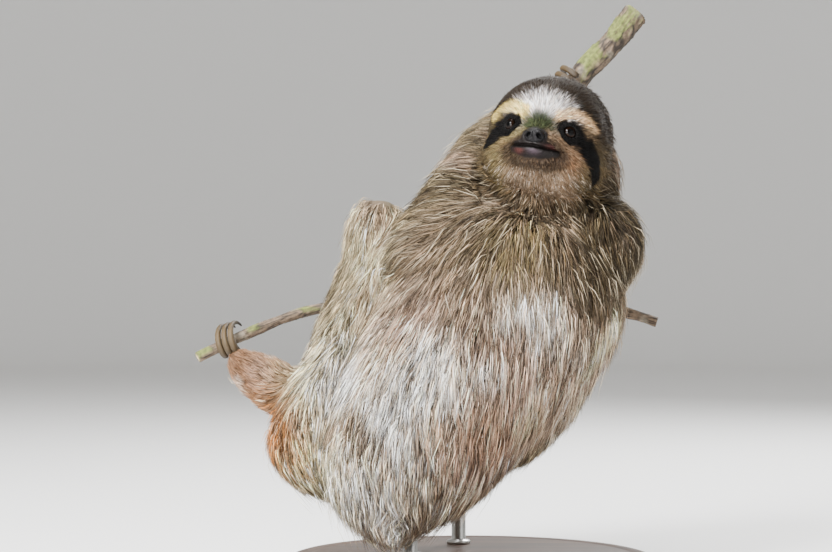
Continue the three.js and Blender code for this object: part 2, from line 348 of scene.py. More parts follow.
def tube(rings):
    """A closed solid through rings of points (rows, columns, 3), its ends fanned flat."""
    points = with_ends(rings)
    return points, outward(points, ring_faces(*rings.shape[:2]))


def joined(parts):
    """Several (points, faces) as one."""
    points, faces, start = [], [], 0
    for p, f in parts:
        points.append(p)
        faces.append(f + start)
        start += len(p)
    return np.concatenate(points), np.concatenate(faces)


def normals_of(points, faces):
    """Each point's outward direction: the sum of the areas of the triangles round it."""
    a, b, c = points[faces].transpose(1, 0, 2)
    area = np.cross(b - a, c - a)
    total = np.zeros((len(points), 3))
    for axis in range(3):
        weight = np.repeat(area[:, axis], 3)
        total[:, axis] = np.bincount(faces.ravel(), weight, len(points))
    return unit(total)


class Neighbours:
    """Averages values over each point's neighbours along the edges of a mesh."""

    def __init__(self, faces, count):
        # Each edge is kept once, and then read from both of its ends.
        sides = np.sort(np.concatenate([faces[:, [0, 1]], faces[:, [1, 2]], faces[:, [2, 0]]]), 1)
        sides = np.unique(sides, axis=0)
        self.start = np.concatenate([sides[:, 0], sides[:, 1]])
        self.end = np.concatenate([sides[:, 1], sides[:, 0]])
        self.count = count
        self.share = np.maximum(np.bincount(self.start, minlength=count), 1)[:, None]

    def relax(self, values, times, amount=0.5):
        """Each value moved by an amount of the way to the mean of its neighbours'."""
        for _ in range(times):
            mean = np.stack([np.bincount(self.start, values[self.end, k], self.count)
                             for k in range(values.shape[1])], 1) / self.share
            values = values + amount * (mean - values)
        return values

    def even(self, points, times):
        """Smooths places by 0.55 of the way to the mean and then by 0.57 away from it, so that
        round forms keep their girth."""
        for _ in range(times):
            points = self.relax(self.relax(points, 1, 0.55), 1, -0.57)
        return points


# ---------------------------------------------------------------- the head's axes

def head_axes():
    """The head's middle and its three axes as rows, from where its eyes and nose are."""
    left, right, nose = middle("eye_left"), middle("eye_right"), middle("nose")
    x = unit(right - left)
    between = (left + right) / 2
    _, back, down = NOSE_AT - [0, EYE_AT[1], EYE_AT[2]]
    d = nose - between
    d = d - x * (d @ x)
    p = np.cross(x, d)
    y = unit(back * d - down * p)
    z = unit(down * d + back * p)
    return between - EYE_AT[1] * y - EYE_AT[2] * z, np.stack([x, y, z])


HEAD_MIDDLE, HEAD_AXES = head_axes()


def in_head(points):
    """Places of the body in the head's axes: how far along each they are from its middle."""
    return (points - HEAD_MIDDLE) @ HEAD_AXES.T


def from_head(points):
    """Places in the head's axes back on the body: the middle plus so much of each axis."""
    return points @ HEAD_AXES + HEAD_MIDDLE


def ray_through(rays, at, half):
    """How far each ray from the head's middle runs before it leaves an ellipsoid, or 0: with
    lengths over its half sizes, the larger root of |ray t - at| = 1."""
    scaled, centre = rays / np.array(half), np.array(at) / np.array(half)
    a = (scaled ** 2).sum(1)
    b = scaled @ centre
    inside = b * b - a * (centre @ centre - 1)
    return np.where(inside > 0, np.maximum(0, (b + np.sqrt(np.maximum(inside, 0))) / a), 0)


def head_reach(rays):
    """How far the coat's outline is from the head's middle: the longest run through any lump,
    eased as MELT ln(sum exp(run / MELT))."""
    runs = np.stack([ray_through(rays, at, half) for at, half in LUMPS])
    top = runs.max(0)
    return top + MELT * np.log(np.exp((runs - top) / MELT).sum(0))


def mirrored(q):
    """The same places, all on the +X side of the head."""
    return np.column_stack([np.abs(q[:, 0]), q[:, 1], q[:, 2]])


def bare_mask(q):
    """1 on the naked skin round the nose and mouth, in the head's axes: inside either of two
    ovals, the lips' one lower toward its ends, with a wandering edge."""
    x, z = np.abs(q[:, 0]), q[:, 2]
    tall = LIPS_HALF[1] - 2.0 * smooth(8, 20, x)
    lips = (x / LIPS_HALF[0]) ** 2 + ((z - LIPS_Z) / tall) ** 2
    pad = (x / PAD_HALF[0]) ** 2 + ((z - NOSE_AT[2]) / PAD_HALF[1]) ** 2
    shape = np.minimum(lips, pad) + 0.07 * ripple(q, 7, 31)
    return smooth(1.12, 0.88, shape) * (q[:, 1] < -25)


def mouth_height(x):
    """The mouth's height at a distance from the middle, along straight lengths."""
    return np.interp(np.abs(x), MOUTH_X, MOUTH_Z)


def eye_place(q):
    """Where a point is round the nearer eye: across it, above its middle line, and out from it,
    and the length of the first two over the opening's half sizes, so that its edge is at 1."""
    s = mirrored(q)
    out = unit(EYE_AT)
    across = np.array([1.0, 0.0, -0.28])
    across = unit(across - out * (across @ out))
    up = np.cross(out, across)
    up = up * np.sign(up[2])
    e = s - EYE_AT
    u, v, w = e @ across, e @ up, e @ out
    wide, tall = EYE_OPEN
    edge = np.sqrt((u / wide) ** 2 + (v / (tall - 0.5 * np.abs(u) / wide)) ** 2)
    return u, v, w, edge


def face_relief(q):
    """How far the skin stands out from its plain form, in the head's axes: a sum of bells across
    lines, for a ridge over each eye, a hollow round it, the lips and the groove between them,
    the furrow and the rim of the nose, and a fold beside it."""
    s = mirrored(q)
    x, z = s[:, 0], s[:, 2]
    front = smooth(-22, -34, q[:, 1])
    d, _ = line_distance(s, BROW)
    rise = 1.3 * bell(d, 5)
    d, _ = line_distance(s, STRIPE)
    rise -= 1.3 * bell(d, 7)
    above = z - mouth_height(x)
    wide = smooth(24.5, 19.0, x)
    rise += wide * 1.1 * bell(above - 2.4, 1.7)
    rise += wide * 1.2 * bell(above + 3.2, 2.5) * (1 - 0.6 * (x / 22) ** 2)
    rise -= wide * 2.8 * bell(above, 0.95)
    rise -= wide * 0.5 * bell(above + 9, 3.0)
    rise -= 0.9 * bell(x, 0.9) * smooth(-19.5, -20.4, z) * smooth(-23, -21.5, z)
    d = np.hypot(x / 1.3, z - NOSE_AT[2])
    rise += 0.9 * bell(d - 7.6, 1.6)
    d, _ = line_distance(s, NOSE_FOLD)
    rise -= 0.9 * bell(d, 1.8)
    rise += 0.10 * bare_mask(q) * ripple(q, 2.6, 5)
    return rise * front


def lid_height(q):
    """The skin's height over the eye's middle: under the ball inside the opening, and over its
    edge a lid that sinks back to the face."""
    u, v, height, edge = eye_place(q)
    far = np.hypot(u, v)
    ball = np.sqrt(np.maximum(EYE_RADIUS ** 2 - far ** 2, 0.0))
    rim_far = far / np.maximum(edge, 1e-6)
    rim = np.sqrt(np.maximum(EYE_RADIUS ** 2 - rim_far ** 2, 0.0)) + 1.0
    crease = 0.7 * bell(edge - 1.75, 0.22)
    lid = rim - 0.5 * (edge - 1) - crease
    hidden = np.minimum(ball - 1.7, 3.2)
    blend = smooth(2.7, 1.25, edge)
    outside = height + blend * (lid - height)
    return np.where(edge < 1, hidden, outside)


# ---------------------------------------------------------------- markings, painted light and painted shade

COLOURS = {name: tone(code) for name, code in {
    "cap": "#2a221a", "ruff": "#524530", "cheek": "#6a5e40", "cheek_warm": "#6c5844",
    "chin": "#846f5a", "chin_pale": "#dccfbe", "white": "#f6eeea", "cream": "#dfc574",
    "peach": "#e0ba8e", "beside_nose": "#a29a8c", "black": "#0a0806", "green": "#2c3620",
    "rust": "#8c5c38", "lip_hair": "#3b2f25", "bare": "#0f0b0a", "lip": "#463b42",
    "pink": "#3f211e", "back": "#a18b76", "shade": "#43372a", "rosy": "#ab8e7e",
    "pale": "#fff0e0", "tan": "#ceae8c", "orange": "#d4aa7a", "sand": "#f4e6b8",
    "olive": "#655937", "arm": "#5c513d", "grey": "#8a7b62", "foot": "#7a5a42",
    "russet": "#8a5526", "wisp": "#e6d6b8", "milk": "#eccfae", "dusk": "#352c1d",
    "gap": "#2b221a", "brown": "#8f6c52",
}.items()}

# Marks on the body, among them painted light and painted shade: where, how wide, colour, strength.
MARKS_AND_PAINTED_LIGHT = [
    ((-66, -98, 140), 52, "milk", 0.6), ((-60, -90, 60), 60, "milk", 0.85),
    ((-100, -60, 60), 55, "milk", 0.95), ((20, -100, 130), 50, "tan", 0.5),
    ((-6, -98, 100), 40, "rosy", 0.85), ((24, -105, 168), 50, "rosy", 0.75),
    ((-44, -91, 212), 30, "rosy", 0.5), ((25, -85, 100), 30, "rosy", 0.7),
    # The sand marks on the next two lines run along the left outline. They are partly the coat's own
    # pale hair, and partly painted light shining through it from behind.
    ((-124, -10, 215), 40, "sand", 0.35), ((-130, -26, 168), 34, "sand", 0.6),
    ((-92, -17, 250), 24, "sand", 0.7), ((-140, -15, 150), 22, "sand", 0.5),
    ((-113, 10, 232), 36, "arm", 0.85), ((-84, -30, 232), 16, "milk", 0.6),
    ((-112, -40, 76), 34, "sand", 0.85), ((-132, -34, 88), 22, "sand", 0.8),
    ((-137, -30, 96), 20, "orange", 0.8), ((-152, -20, 110), 25, "russet", 0.9),
    ((-162, -12, 128), 24, "russet", 0.9), ((-168, 12, 108), 34, "russet", 0.85),
    ((30, -72, 262), 60, "olive", 0.65), ((110, -40, 262), 52, "dusk", 0.95),
    ((88, -82, 240), 34, "dusk", 0.85), ((118, -35, 300), 36, "dusk", 0.8),
    # The shade mark at (50, -40, 298) is painted shadow under the chin.
    ((98, -75, 215), 22, "dusk", 0.75), ((50, -40, 298), 26, "shade", 0.6),
    # The pale marks in the next six lines, over the belly and the lower back, are partly whitish
    # blotches of the coat and partly painted light: pools of sunlight put in as colour.
    ((-103, -45, 155), 24, "pale", 0.95), ((-112, -50, 176), 16, "pale", 0.7),
    ((-75, -98, 136), 22, "pale", 0.95), ((-60, -102, 112), 18, "pale", 0.8),
    ((-34, -108, 180), 20, "pale", 0.95), ((-28, -108, 158), 20, "pale", 0.7),
    ((-60, -106, 152), 24, "pale", 0.9), ((26, -96, 215), 14, "pale", 0.4),
    ((50, -96, 207), 20, "pale", 0.6), ((-95, -78, 60), 26, "pale", 0.6),
    ((-20, -106, 134), 16, "pale", 0.5), ((10, -111, 166), 13, "pale", 0.5),
    ((-96, -80, 127), 11, "shade", 0.9), ((-85, -92, 114), 11, "shade", 0.85),
    # The shade marks at (-56, -75, 222) and (-72, -60, 216) are painted shade in the crease under
    # the shoulder.
    ((-74, -96, 104), 9, "shade", 0.6), ((-56, -75, 222), 13, "shade", 0.85),
    ((-72, -60, 216), 10, "shade", 0.6), ((-4, -93, 243), 18, "shade", 0.6),
    ((9, -109, 194), 10, "shade", 0.6), ((34, -100, 186), 10, "shade", 0.5),
    ((-50, -68, 252), 22, "shade", 0.4), ((-4, -98, 212), 20, "shade", 0.5),
    ((-30, -90, 231), 22, "shade", 0.3), ((-30, -106, 127), 15, "tan", 0.5),
    ((-2, -102, 125), 26, "brown", 0.6), ((26, -95, 110), 26, "brown", 0.5),
    ((50, -80, 126), 13, "sand", 0.5), ((102, -60, 228), 20, "dusk", 0.8),
    ((-4, -70, 272), 34, "dusk", 0.5), ((-56, -20, 315), 34, "dusk", 0.5),
    # The dusk marks at (-25, -30, 311) and (2, -40, 311) are painted shade in the hollow between the
    # left shoulder and the cheek.
    ((-25, -30, 311), 28, "dusk", 0.45), ((2, -40, 311), 26, "dusk", 0.45),
    ((-4, -60, 288), 28, "dusk", 0.3), ((-56, -70, 62), 34, "pale", 0.45),
    ((-85, -66, 62), 30, "pale", 0.45), ((-28, -72, 66), 26, "milk", 0.5),
    # The sand marks on the next three lines run along the right outline: painted rim light on the
    # hair at the edge.
    ((113, -50, 205), 8, "sand", 0.95), ((109, -55, 196), 8, "sand", 0.95),
    ((104, -60, 186), 8, "sand", 0.95), ((100, -61, 177), 8, "sand", 0.9),
    ((96, -62, 168), 8, "sand", 0.9), ((90, -65, 158), 8, "sand", 0.7),
    ((94, -80, 195), 11, "shade", 0.7), ((86, -82, 176), 10, "shade", 0.6),
    ((70, -88, 158), 12, "shade", 0.3),
]
PART_TONE = {"neck": "ruff", "trunk": "back", "tail": "milk", "thigh": "grey",
             "upper_arm": "arm", "forearm": "arm", "shank": "grey", "hand": "arm",
             "foot": "foot", "head": "cap"}


def face_tones(q, luck):
    """Colours of the head, in its own axes, laid one over another by eased steps of the place:
    cap, ruff and cheeks, chin, the white fan of the forehead, brows, the green bridge of the
    nose, the hair by the lips and the dark stripes. Each lock has its luck, 0 to 1, that makes
    it take one colour or the other where two are sprinkled together."""
    s = mirrored(q)
    x, y, z = s.T
    side = np.sign(q[:, 0])
    wobble = ripple(q, 7, 11)
    low = smooth(8, -14, z + 0.12 * (y + 30))
    ahead = smooth(12, -16, y)
    cheek = mix(COLOURS["cheek"], COLOURS["cheek_warm"], smooth(-0.6, 0.6, q[:, 0] / 12))
    out = mix(COLOURS["cap"], COLOURS["ruff"], low * smooth(30, 10, y))
    out = mix(out, cheek, low * ahead * smooth(46, 34, x - 0.2 * z))
    out = mix(out, COLOURS["chin"], ahead * smooth(32, 14, x) * smooth(-25, -36, z))
    fleck = smooth(0.82, 0.95, luck) * smooth(-26, -36, z)
    out = mix(out, COLOURS["chin_pale"], 0.5 * fleck * ahead)
    out = mix(out, COLOURS["lip_hair"], 0.6 * smooth(-50, -60, z + 0.35 * y) * ahead)
    rust = spot(q[:, 0], z, (27, -25), (6, 8)) + 0.5 * spot(q[:, 0], z, (-25, -19), (6, 6))
    out = mix(out, COLOURS["rust"], 0.3 * rust * ahead)
    reach = np.hypot(x * 0.98, (z - 3) * 1.12) + wobble * 1.2
    share = 0.95 * smooth(33, 10, reach)
    fan = (0.6 * chance(share, luck) + 0.4 * share) * smooth(0, 8, z + 0.1 * x) * (y < 5)
    out = mix(out, COLOURS["white"], fan)
    beside = bell(x - 12, 4.2) * smooth(-11, -3, z) * smooth(9, 3, z)
    out = mix(out, COLOURS["beside_nose"], 0.45 * beside * ahead)
    d, along = line_distance(s, BROW)
    brow = mix(COLOURS["cream"], COLOURS["peach"], smooth(-1, 1, side))
    reach = 6.3 - np.where(side > 0, 1.6, 0.4) - 1.5 * along
    out = mix(out, brow, smooth(1.6, -1.2, d - reach + wobble * 0.5) * (0.92 - 0.3 * along))
    bridge = np.hypot(x / 12.5, (z + 1.5) / 10.5)
    out = mix(out, COLOURS["green"], 0.9 * smooth(1.2, 0.5, bridge + 0.08 * wobble) * (y < -30))
    lips = np.hypot(x / 25.0, (z + 24.0) / 11.0)
    out = mix(out, COLOURS["lip_hair"], 0.9 * smooth(1.2, 0.9, lips) * ahead)
    d, along = line_distance(s, STRIPE)
    half = np.interp(along, np.linspace(0, 1, len(STRIPE_HALF)), STRIPE_HALF)
    half = half - np.where(side < 0, 12.0, 0.0) * smooth(0.55, 0.85, along)
    stripe = smooth(1.6, -1.4, d - half + wobble * 0.7) * (y < 10)
    return mix(out, COLOURS["black"], stripe)


def bare_tones(q):
    """Colours of the naked skin of the muzzle: dark, with a grey bell on the lower lip that is a
    painted highlight, two pink bells on the lips, and black in the groove between them that is
    painted shade."""
    out = np.repeat(COLOURS["bare"][None], len(q), 0)
    above = q[:, 2] - mouth_height(q[:, 0])
    low = smooth(-0.8, -2.0, above)
    # Painted highlight: a grey-mauve bell on the middle of the lower lip.
    out = mix(out, COLOURS["lip"], 0.7 * low * spot(q[:, 0], above, (1, -3.0), (4.4, 2.0)))
    out = mix(out, COLOURS["pink"], 0.8 * low * spot(q[:, 0], above, (-11, -3.2), (4, 2.0)))
    out = mix(out, COLOURS["pink"], 0.6 * spot(q[:, 0], above, (15, 2.6), (5, 1.5)))
    # Painted shade: near black along the groove between the lips.
    inside = bell(above, 1.0) * smooth(23, 20, np.abs(q[:, 0]))
    return mix(out, COLOURS["black"] * 0.3, inside)


def body_tones(points, weights, luck):
    """Colours of the body's coat: each part's own, broken by large soft patches, then the marks,
    where pale and dark locks are sprinkled together; some marks are the coat's own patches and some
    are painted light and painted shade. A mark's share is its strength times exp(-(distance /
    width)^2). Last, painted shade darkens the crease under the chin."""
    table = np.stack([COLOURS[PART_TONE[kind_of(name)]] for name in FLESH])
    out = weights @ table
    high = smooth(205, 262, points[:, 2]) * share_of(weights, "trunk")
    out = mix(out, COLOURS["shade"], 0.5 * high)
    out = mix(out, COLOURS["rosy"], 0.3 * smooth(-0.2, 1.2, ripple(points, 60, 3)) * (1 - high))
    out = mix(out, COLOURS["shade"], 0.22 * smooth(0.3, 1.6, ripple(points, 42, 4)))
    pale = 0.22 * smooth(0.4, 1.6, ripple(points, 30, 6)) * smooth(270, 190, points[:, 2])
    out = mix(out, COLOURS["pale"], pale)
    for at, wide, name, strength in MARKS_AND_PAINTED_LIGHT:
        far = ((points - np.array(at, float)) ** 2).sum(1) / wide ** 2
        share = strength * np.exp(-far)
        out = mix(out, COLOURS[name], 0.45 * share + 0.55 * chance(share, luck))
    # Painted shade: the crease under the chin is darkened toward dusk.
    return mix(out, COLOURS["dusk"], 0.7 * under_chin(points, weights))


def kind_of(node):
    """A node's name without its side."""
    for side in SIDES:
        if node.endswith("_" + side):
            return node[: -len(side) - 1]
    return node


def coat_tones(points, weights, luck=0.5):
    """The colour of the coat anywhere: the body's, eased to the head's as the head's share of
    the point goes from 0.4 to 0.7."""
    face = face_tones(in_head(points), luck)
    on_head = share_of(weights, "head")
    return mix(body_tones(points, weights, luck), face, smooth(0.4, 0.7, on_head))


# ---------------------------------------------------------------- the skin

def flesh_solid():
    """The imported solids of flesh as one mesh, with each point's part numbered, and a paw's cut
    hollows filled by its hull."""
    parts, numbers = [], []
    for number, name in enumerate(FLESH):
        points, faces = merged(*arrays(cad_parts[name].data))
        if kind_of(name) in ("hand", "foot"):
            points, faces = hull(points, faces)
        parts.append((points, faces))
        numbers.append(np.full(len(points), float(number)))
    points, faces = joined(parts)
    solid = make_mesh("flesh", points, faces)
    number = np.concatenate(numbers)
    put(solid.data, "part", np.column_stack([number] * 3), "FLOAT_VECTOR")
    return solid


def hull(points, faces):
    """The smallest shape without hollows that holds all the points."""
    thing = make_mesh("hull", points, faces)
    work = bmesh.new()
    work.from_mesh(thing.data)
    bmesh.ops.convex_hull(work, input=work.verts)
    loose = [v for v in work.verts if not v.link_faces]
    bmesh.ops.delete(work, geom=loose, context="VERTS")
    work.to_mesh(thing.data)
    work.free()
    out = arrays(thing.data)
    bpy.data.objects.remove(thing)
    return out


def point_tree(source, build):
    """A node tree for a cloud of points: build(nodes, links, surface, flow) stores on the flow of
    points what it finds on the source's surface."""
    tree = bpy.data.node_groups.new("read_surface", "GeometryNodeTree")
    for way in ("INPUT", "OUTPUT"):
        tree.interface.new_socket("Geometry", in_out=way, socket_type="NodeSocketGeometry")
    nodes, links = tree.nodes, tree.links
    whole = nodes.new("GeometryNodeObjectInfo")
    whole.inputs["Object"].default_value = source
    flow = nodes.new("NodeGroupInput").outputs[0]
    flow = build(nodes, links, whole.outputs["Geometry"], flow)
    links.new(flow, nodes.new("NodeGroupOutput").inputs[0])
    return tree


def stored(nodes, links, flow, name, kind, value):
    """The flow of points with a value stored on each under a name."""
    store = nodes.new("GeometryNodeStoreNamedAttribute")
    store.data_type = kind
    store.domain = "POINT"
    store.inputs["Name"].default_value = name
    links.new(flow, store.inputs["Geometry"])
    links.new(value, store.inputs["Value"])
    return store.outputs["Geometry"]


def reader(source, names):
    """A node tree that writes, on each point of a cloud, the source surface's nearest place and
    its named vectors there."""
    def build(nodes, links, surface, flow):
        for name in names:
            if name == "place":
                value = nodes.new("GeometryNodeInputPosition").outputs[0]
            else:
                named = nodes.new("GeometryNodeInputNamedAttribute")
                named.data_type = "FLOAT_VECTOR"
                named.inputs["Name"].default_value = name
                value = named.outputs[0]
            sample = nodes.new("GeometryNodeSampleNearestSurface")
            sample.data_type = "FLOAT_VECTOR"
            links.new(surface, sample.inputs["Mesh"])
            links.new(value, sample.inputs["Value"])
            flow = stored(nodes, links, flow, "at_" + name, "FLOAT_VECTOR", sample.outputs["Value"])
        return flow
    return point_tree(source, build)


def run_on(tree, points, wanted):
    """Runs a tree on a cloud of points, and gives back what it stored as flat arrays: wanted is
    (name, field, numbers for each point, kind of number) for each."""
    cloud = cloud_of("cloud", points)
    cloud.modifiers.new("read", "NODES").node_group = tree
    found = cloud.evaluated_get(bpy.context.evaluated_depsgraph_get()).data
    out = []
    for name, field, width, kind in wanted:
        values = np.zeros(len(points) * width, kind)
        found.attributes[name].data.foreach_get(field, values)
        out.append(values)
    bpy.data.objects.remove(cloud)
    return out


def read(tree, names, points):
    """What a reader tree finds at each of the points, one array for each name."""
    found = run_on(tree, points, [("at_" + name, "vector", 3, np.float32) for name in names])
    return [values.reshape(-1, 3).astype(float) * (1 / MM if name == "place" else 1)
            for name, values in zip(names, found)]


def nearest(points, targets):
    """The number of the target nearest each point."""
    def build(nodes, links, surface, flow):
        find = nodes.new("GeometryNodeSampleNearest")
        find.domain = "POINT"
        links.new(surface, find.inputs["Geometry"])
        return stored(nodes, links, flow, "number", "INT", find.outputs["Index"])
    held = cloud_of("targets", targets)
    out, = run_on(point_tree(held, build), points, [("number", "value", 1, np.int32)])
    bpy.data.objects.remove(held)
    return out


def unwrap(points, faces):
    """Each corner's place on a flat unwrap of the surface, (triangles, 3, 2)."""
    thing = make_mesh("unwrap", points, faces)
    bpy.context.view_layer.objects.active = thing
    thing.select_set(True)
    bpy.ops.object.mode_set(mode="EDIT")
    bpy.ops.mesh.select_all(action="SELECT")
    bpy.ops.uv.smart_project(angle_limit=math.radians(66), island_margin=0.002)
    bpy.ops.object.mode_set(mode="OBJECT")
    flat = np.zeros(faces.size * 2, np.float32)
    thing.data.uv_layers.active.data.foreach_get("uv", flat)
    order = np.zeros(faces.size, np.int32)
    thing.data.loops.foreach_get("vertex_index", order)
    if not (order.reshape(-1, 3) == faces).all():
        raise RuntimeError("the unwrap changed the order of the triangles")
    bpy.data.objects.remove(thing)
    return flat.reshape(-1, 3, 2).astype(float)


def refine(points, faces, corners, pick):
    """Cuts each picked triangle in four through the middles of its sides, and its neighbours in
    two or three so that no gap opens."""
    sides = np.sort(faces[:, [[0, 1], [1, 2], [2, 0]]], 2)
    keys, back = np.unique(sides.reshape(-1, 2), axis=0, return_inverse=True)
    side = back.reshape(-1, 3)
    cut = np.zeros(len(keys), bool)
    cut[side[pick].ravel()] = True
    number = np.full(len(keys), -1)
    number[cut] = len(points) + np.arange(cut.sum())
    halves = points[keys[cut]].mean(1)
    marked = cut[side]
    count = marked.sum(1)
    turn = np.zeros(len(faces), int)
    turn[count == 1] = marked[count == 1].argmax(1)
    turn[count == 2] = (~marked[count == 2]).argmax(1) + 1
    order = (turn[:, None] + np.arange(3)) % 3
    rows = np.arange(len(faces))[:, None]
    f, m, u = faces[rows, order], number[side[rows, order]], corners[rows, order]
    mid = (u + u[:, [1, 2, 0]]) / 2
    p = np.concatenate([f, m], 1)
    w = np.concatenate([u, mid], 1)
    plans = {0: [(0, 1, 2)], 1: [(0, 3, 2), (3, 1, 2)], 2: [(3, 1, 4), (0, 3, 4), (0, 4, 2)],
             3: [(0, 3, 5), (3, 1, 4), (5, 4, 2), (3, 4, 5)]}
    new_faces, new_corners = [], []
    for amount, plan in plans.items():
        some = count == amount
        for trio in plan:
            new_faces.append(p[some][:, trio])
            new_corners.append(w[some][:, trio])
    return (np.concatenate([points, halves]), np.concatenate(new_faces),
            np.concatenate(new_corners), keys[cut])


def along_skin(v, normals):
    """What is left of each vector when its part along the normal is taken away."""
    return v - (v * normals).sum(1)[:, None] * normals


def lie_of_hair(points, normals, weights):
    """The way the hair lies at each point: down the body, fanned out from the nape above and
    drawn together toward the seat below, along or across the limbs, and on the head away
    from the nose and from the eyes."""
    table = np.array([LIE.get(name, (0, 0, 0)) for name in FLESH], float)
    lie = weights @ table
    trunk = share_of(weights, "trunk", "neck")
    nape = from_head(np.array([[0.0, 14.0, -50.0]]))[0]
    away = points - nape
    far = np.linalg.norm(away, axis=1)
    lie += (1.6 * trunk * bell(far, 72))[:, None] * unit(away)
    thigh = share_of(weights, "thigh_left") * smooth(190, 110, points[:, 2])
    low = smooth(260, 190, points[:, 2]) * trunk + thigh
    lie = mix(lie, unit(SEAT - points), 0.9 * low)
    q = in_head(points)
    radial = unit(q - np.array([0, -58, -5.0]))
    _, _, _, edge = eye_place(q)
    from_eye = mirrored(q) - EYE_AT
    from_eye = unit(from_eye - (from_eye @ unit(EYE_AT))[:, None] * unit(EYE_AT))
    from_eye[:, 0] *= np.sign(q[:, 0])
    radial = mix(radial, from_eye, 0.9 * smooth(2.3, 1.4, edge) * (q[:, 1] < -15))
    on_head = share_of(weights, "head")
    lie = mix(lie, 1.3 * unit(radial) @ HEAD_AXES, smooth(0.2, 0.8, on_head))
    return along_skin(lie, normals)


def under_chin(points, weights):
    """1 in the crease where the neck and chest meet the underside of the head, 0 elsewhere:
    off the head, within 4 to 20 mm of its outline, and below and ahead of its middle."""
    q = in_head(points)
    gap = np.linalg.norm(q, axis=1) - head_reach(unit(q))
    off_head = 1 - share_of(weights, "head")
    return off_head * smooth(20, 4, gap) * smooth(25, -5, q[:, 1]) * smooth(-15, -35, q[:, 2])


class Skin:
    """The animal's one skin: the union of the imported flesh, drawn in by the coat's depth, with
    the face worked in finer triangles."""

    def build(self, voxel):
        """Remeshes the union of the flesh as one shell, smooths it, and moves each point inward
        by its part's coat depth in six steps. Then the unwrap, the finer face, and for each
        point its normal, the depth of coat over it and the way its hair lies."""
        solid = flesh_solid()
        shell = solid.copy()
        shell.data = solid.data.copy()
        bpy.context.scene.collection.objects.link(shell)
        remesh = shell.modifiers.new("one shell", "REMESH")
        remesh.mode = "VOXEL"
        remesh.voxel_size = voxel * MM
        graph = bpy.context.evaluated_depsgraph_get()
        points, faces = arrays(bpy.data.meshes.new_from_object(shell.evaluated_get(graph)))
        bpy.data.objects.remove(shell)
        outline = make_mesh("outline", points, faces)
        tree = reader(solid, ["part"])
        part = np.rint(read(tree, ["part"], points)[0][:, 0]).astype(int)
        weights = np.eye(len(FLESH))[part]
        near = Neighbours(faces, len(points))
        weights = near.relax(weights, 40)
        weights = weights / weights.sum(1)[:, None]
        points = near.even(points, 14)
        depth = weights @ np.array([COAT[kind_of(name)][0] for name in FLESH])
        depth = depth * self.paw_ease(points, part)
        knee = share_of(weights, "thigh_left", "shank_left")
        depth = depth * (1 - 0.65 * knee * smooth(250, 290, points[:, 2]))
        crown = share_of(weights, "head") * smooth(375, 398, points[:, 2])
        depth = depth * (1 - 0.3 * crown) + 6.0 * under_chin(points, weights)
        for _ in range(6):
            points = points - normals_of(points, faces) * depth[:, None] / 6
            points = near.even(points, 3)
        corners = unwrap(points, faces)
        bpy.data.objects.remove(solid)
        points, faces, corners, weights = self.finer(points, faces, corners, weights)
        points = self.sculpt(points, weights)
        self.points, self.faces, self.corners, self.weights = points, faces, corners, weights
        self.normals = normals_of(points, faces)
        place, = read(reader(outline, ["place"]), ["place"], points)
        self.cover = np.linalg.norm(place - points, axis=1)
        bpy.data.objects.remove(outline)
        near = Neighbours(faces, len(points))
        self.cover = near.relax(self.cover[:, None], 6)[:, 0]
        lie = lie_of_hair(points, self.normals, weights)
        self.lie = unit(along_skin(near.relax(lie, 12), self.normals))
        return self

    def paw_ease(self, points, part):
        """1 over most of the body, and on a paw eased from 0 within 2 mm of a claw to 1 at 9 mm,
        so that the skin stays close to the claws' roots."""
        ease = np.ones(len(points))
        for side in SIDES:
            for end in ("hand", "foot"):
                own = part == FLESH.index(f"{end}_{side}")
                for digit in (1, 2, 3):
                    claw, _ = merged(*arrays(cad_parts[f"claw_{end}_{side}_{digit}"].data))
                    far = np.linalg.norm(points[own][:, None] - claw[None], axis=2).min(1)
                    ease[own] = np.minimum(ease[own], smooth(2, 9, far))
        return ease

    def finer(self, points, faces, corners, weights):
        """Three rounds of finer triangles, each over less of the face."""
        for level in range(3):
            q = in_head(points[faces].mean(1))
            ahead, tall = ((-12, 52), (-22, 40), (-30, 30))[level]
            front = (q[:, 1] < ahead) & (np.abs(q[:, 2] + 4) < tall)
            front &= np.linalg.norm(q, axis=1) < 66
            if level == 2:
                eye = np.linalg.norm(mirrored(q) - EYE_AT, axis=1) < 15
                mouth = (np.abs(q[:, 0]) < 28) & (np.abs(q[:, 2] + 21) < 15)
                front &= eye | mouth
            points, faces, corners, split = refine(points, faces, corners, front)
            weights = np.concatenate([weights, weights[split].mean(1)])
        return points, faces, corners, weights

    def sculpt(self, points, weights):
        """The front of the head set on its true form: out from the head's middle by the coat's
        outline less its depth there, plus the relief of the face and the lids."""
        q = in_head(points)
        rays = unit(q)
        share = smooth(0.55, 0.9, share_of(weights, "head"))
        share = share * smooth(4, -14, q[:, 1]) * (np.linalg.norm(q, axis=1) < 64)
        reach = head_reach(rays)
        surface = rays * reach[:, None]
        depth = 2.6 + 4.4 * smooth(-34, -6, surface[:, 1])
        height = reach - depth + face_relief(surface)
        shaped = rays * height[:, None]
        _, _, now, edge = eye_place(shaped)
        out = unit(EYE_AT)
        lift = np.where(edge < 2.7, lid_height(shaped) - now, 0)
        shaped = rays * (height + lift / np.maximum(mirrored(rays) @ out, 0.5))[:, None]
        return np.where(share[:, None] > 0, mix(points, from_head(shaped), share), points)


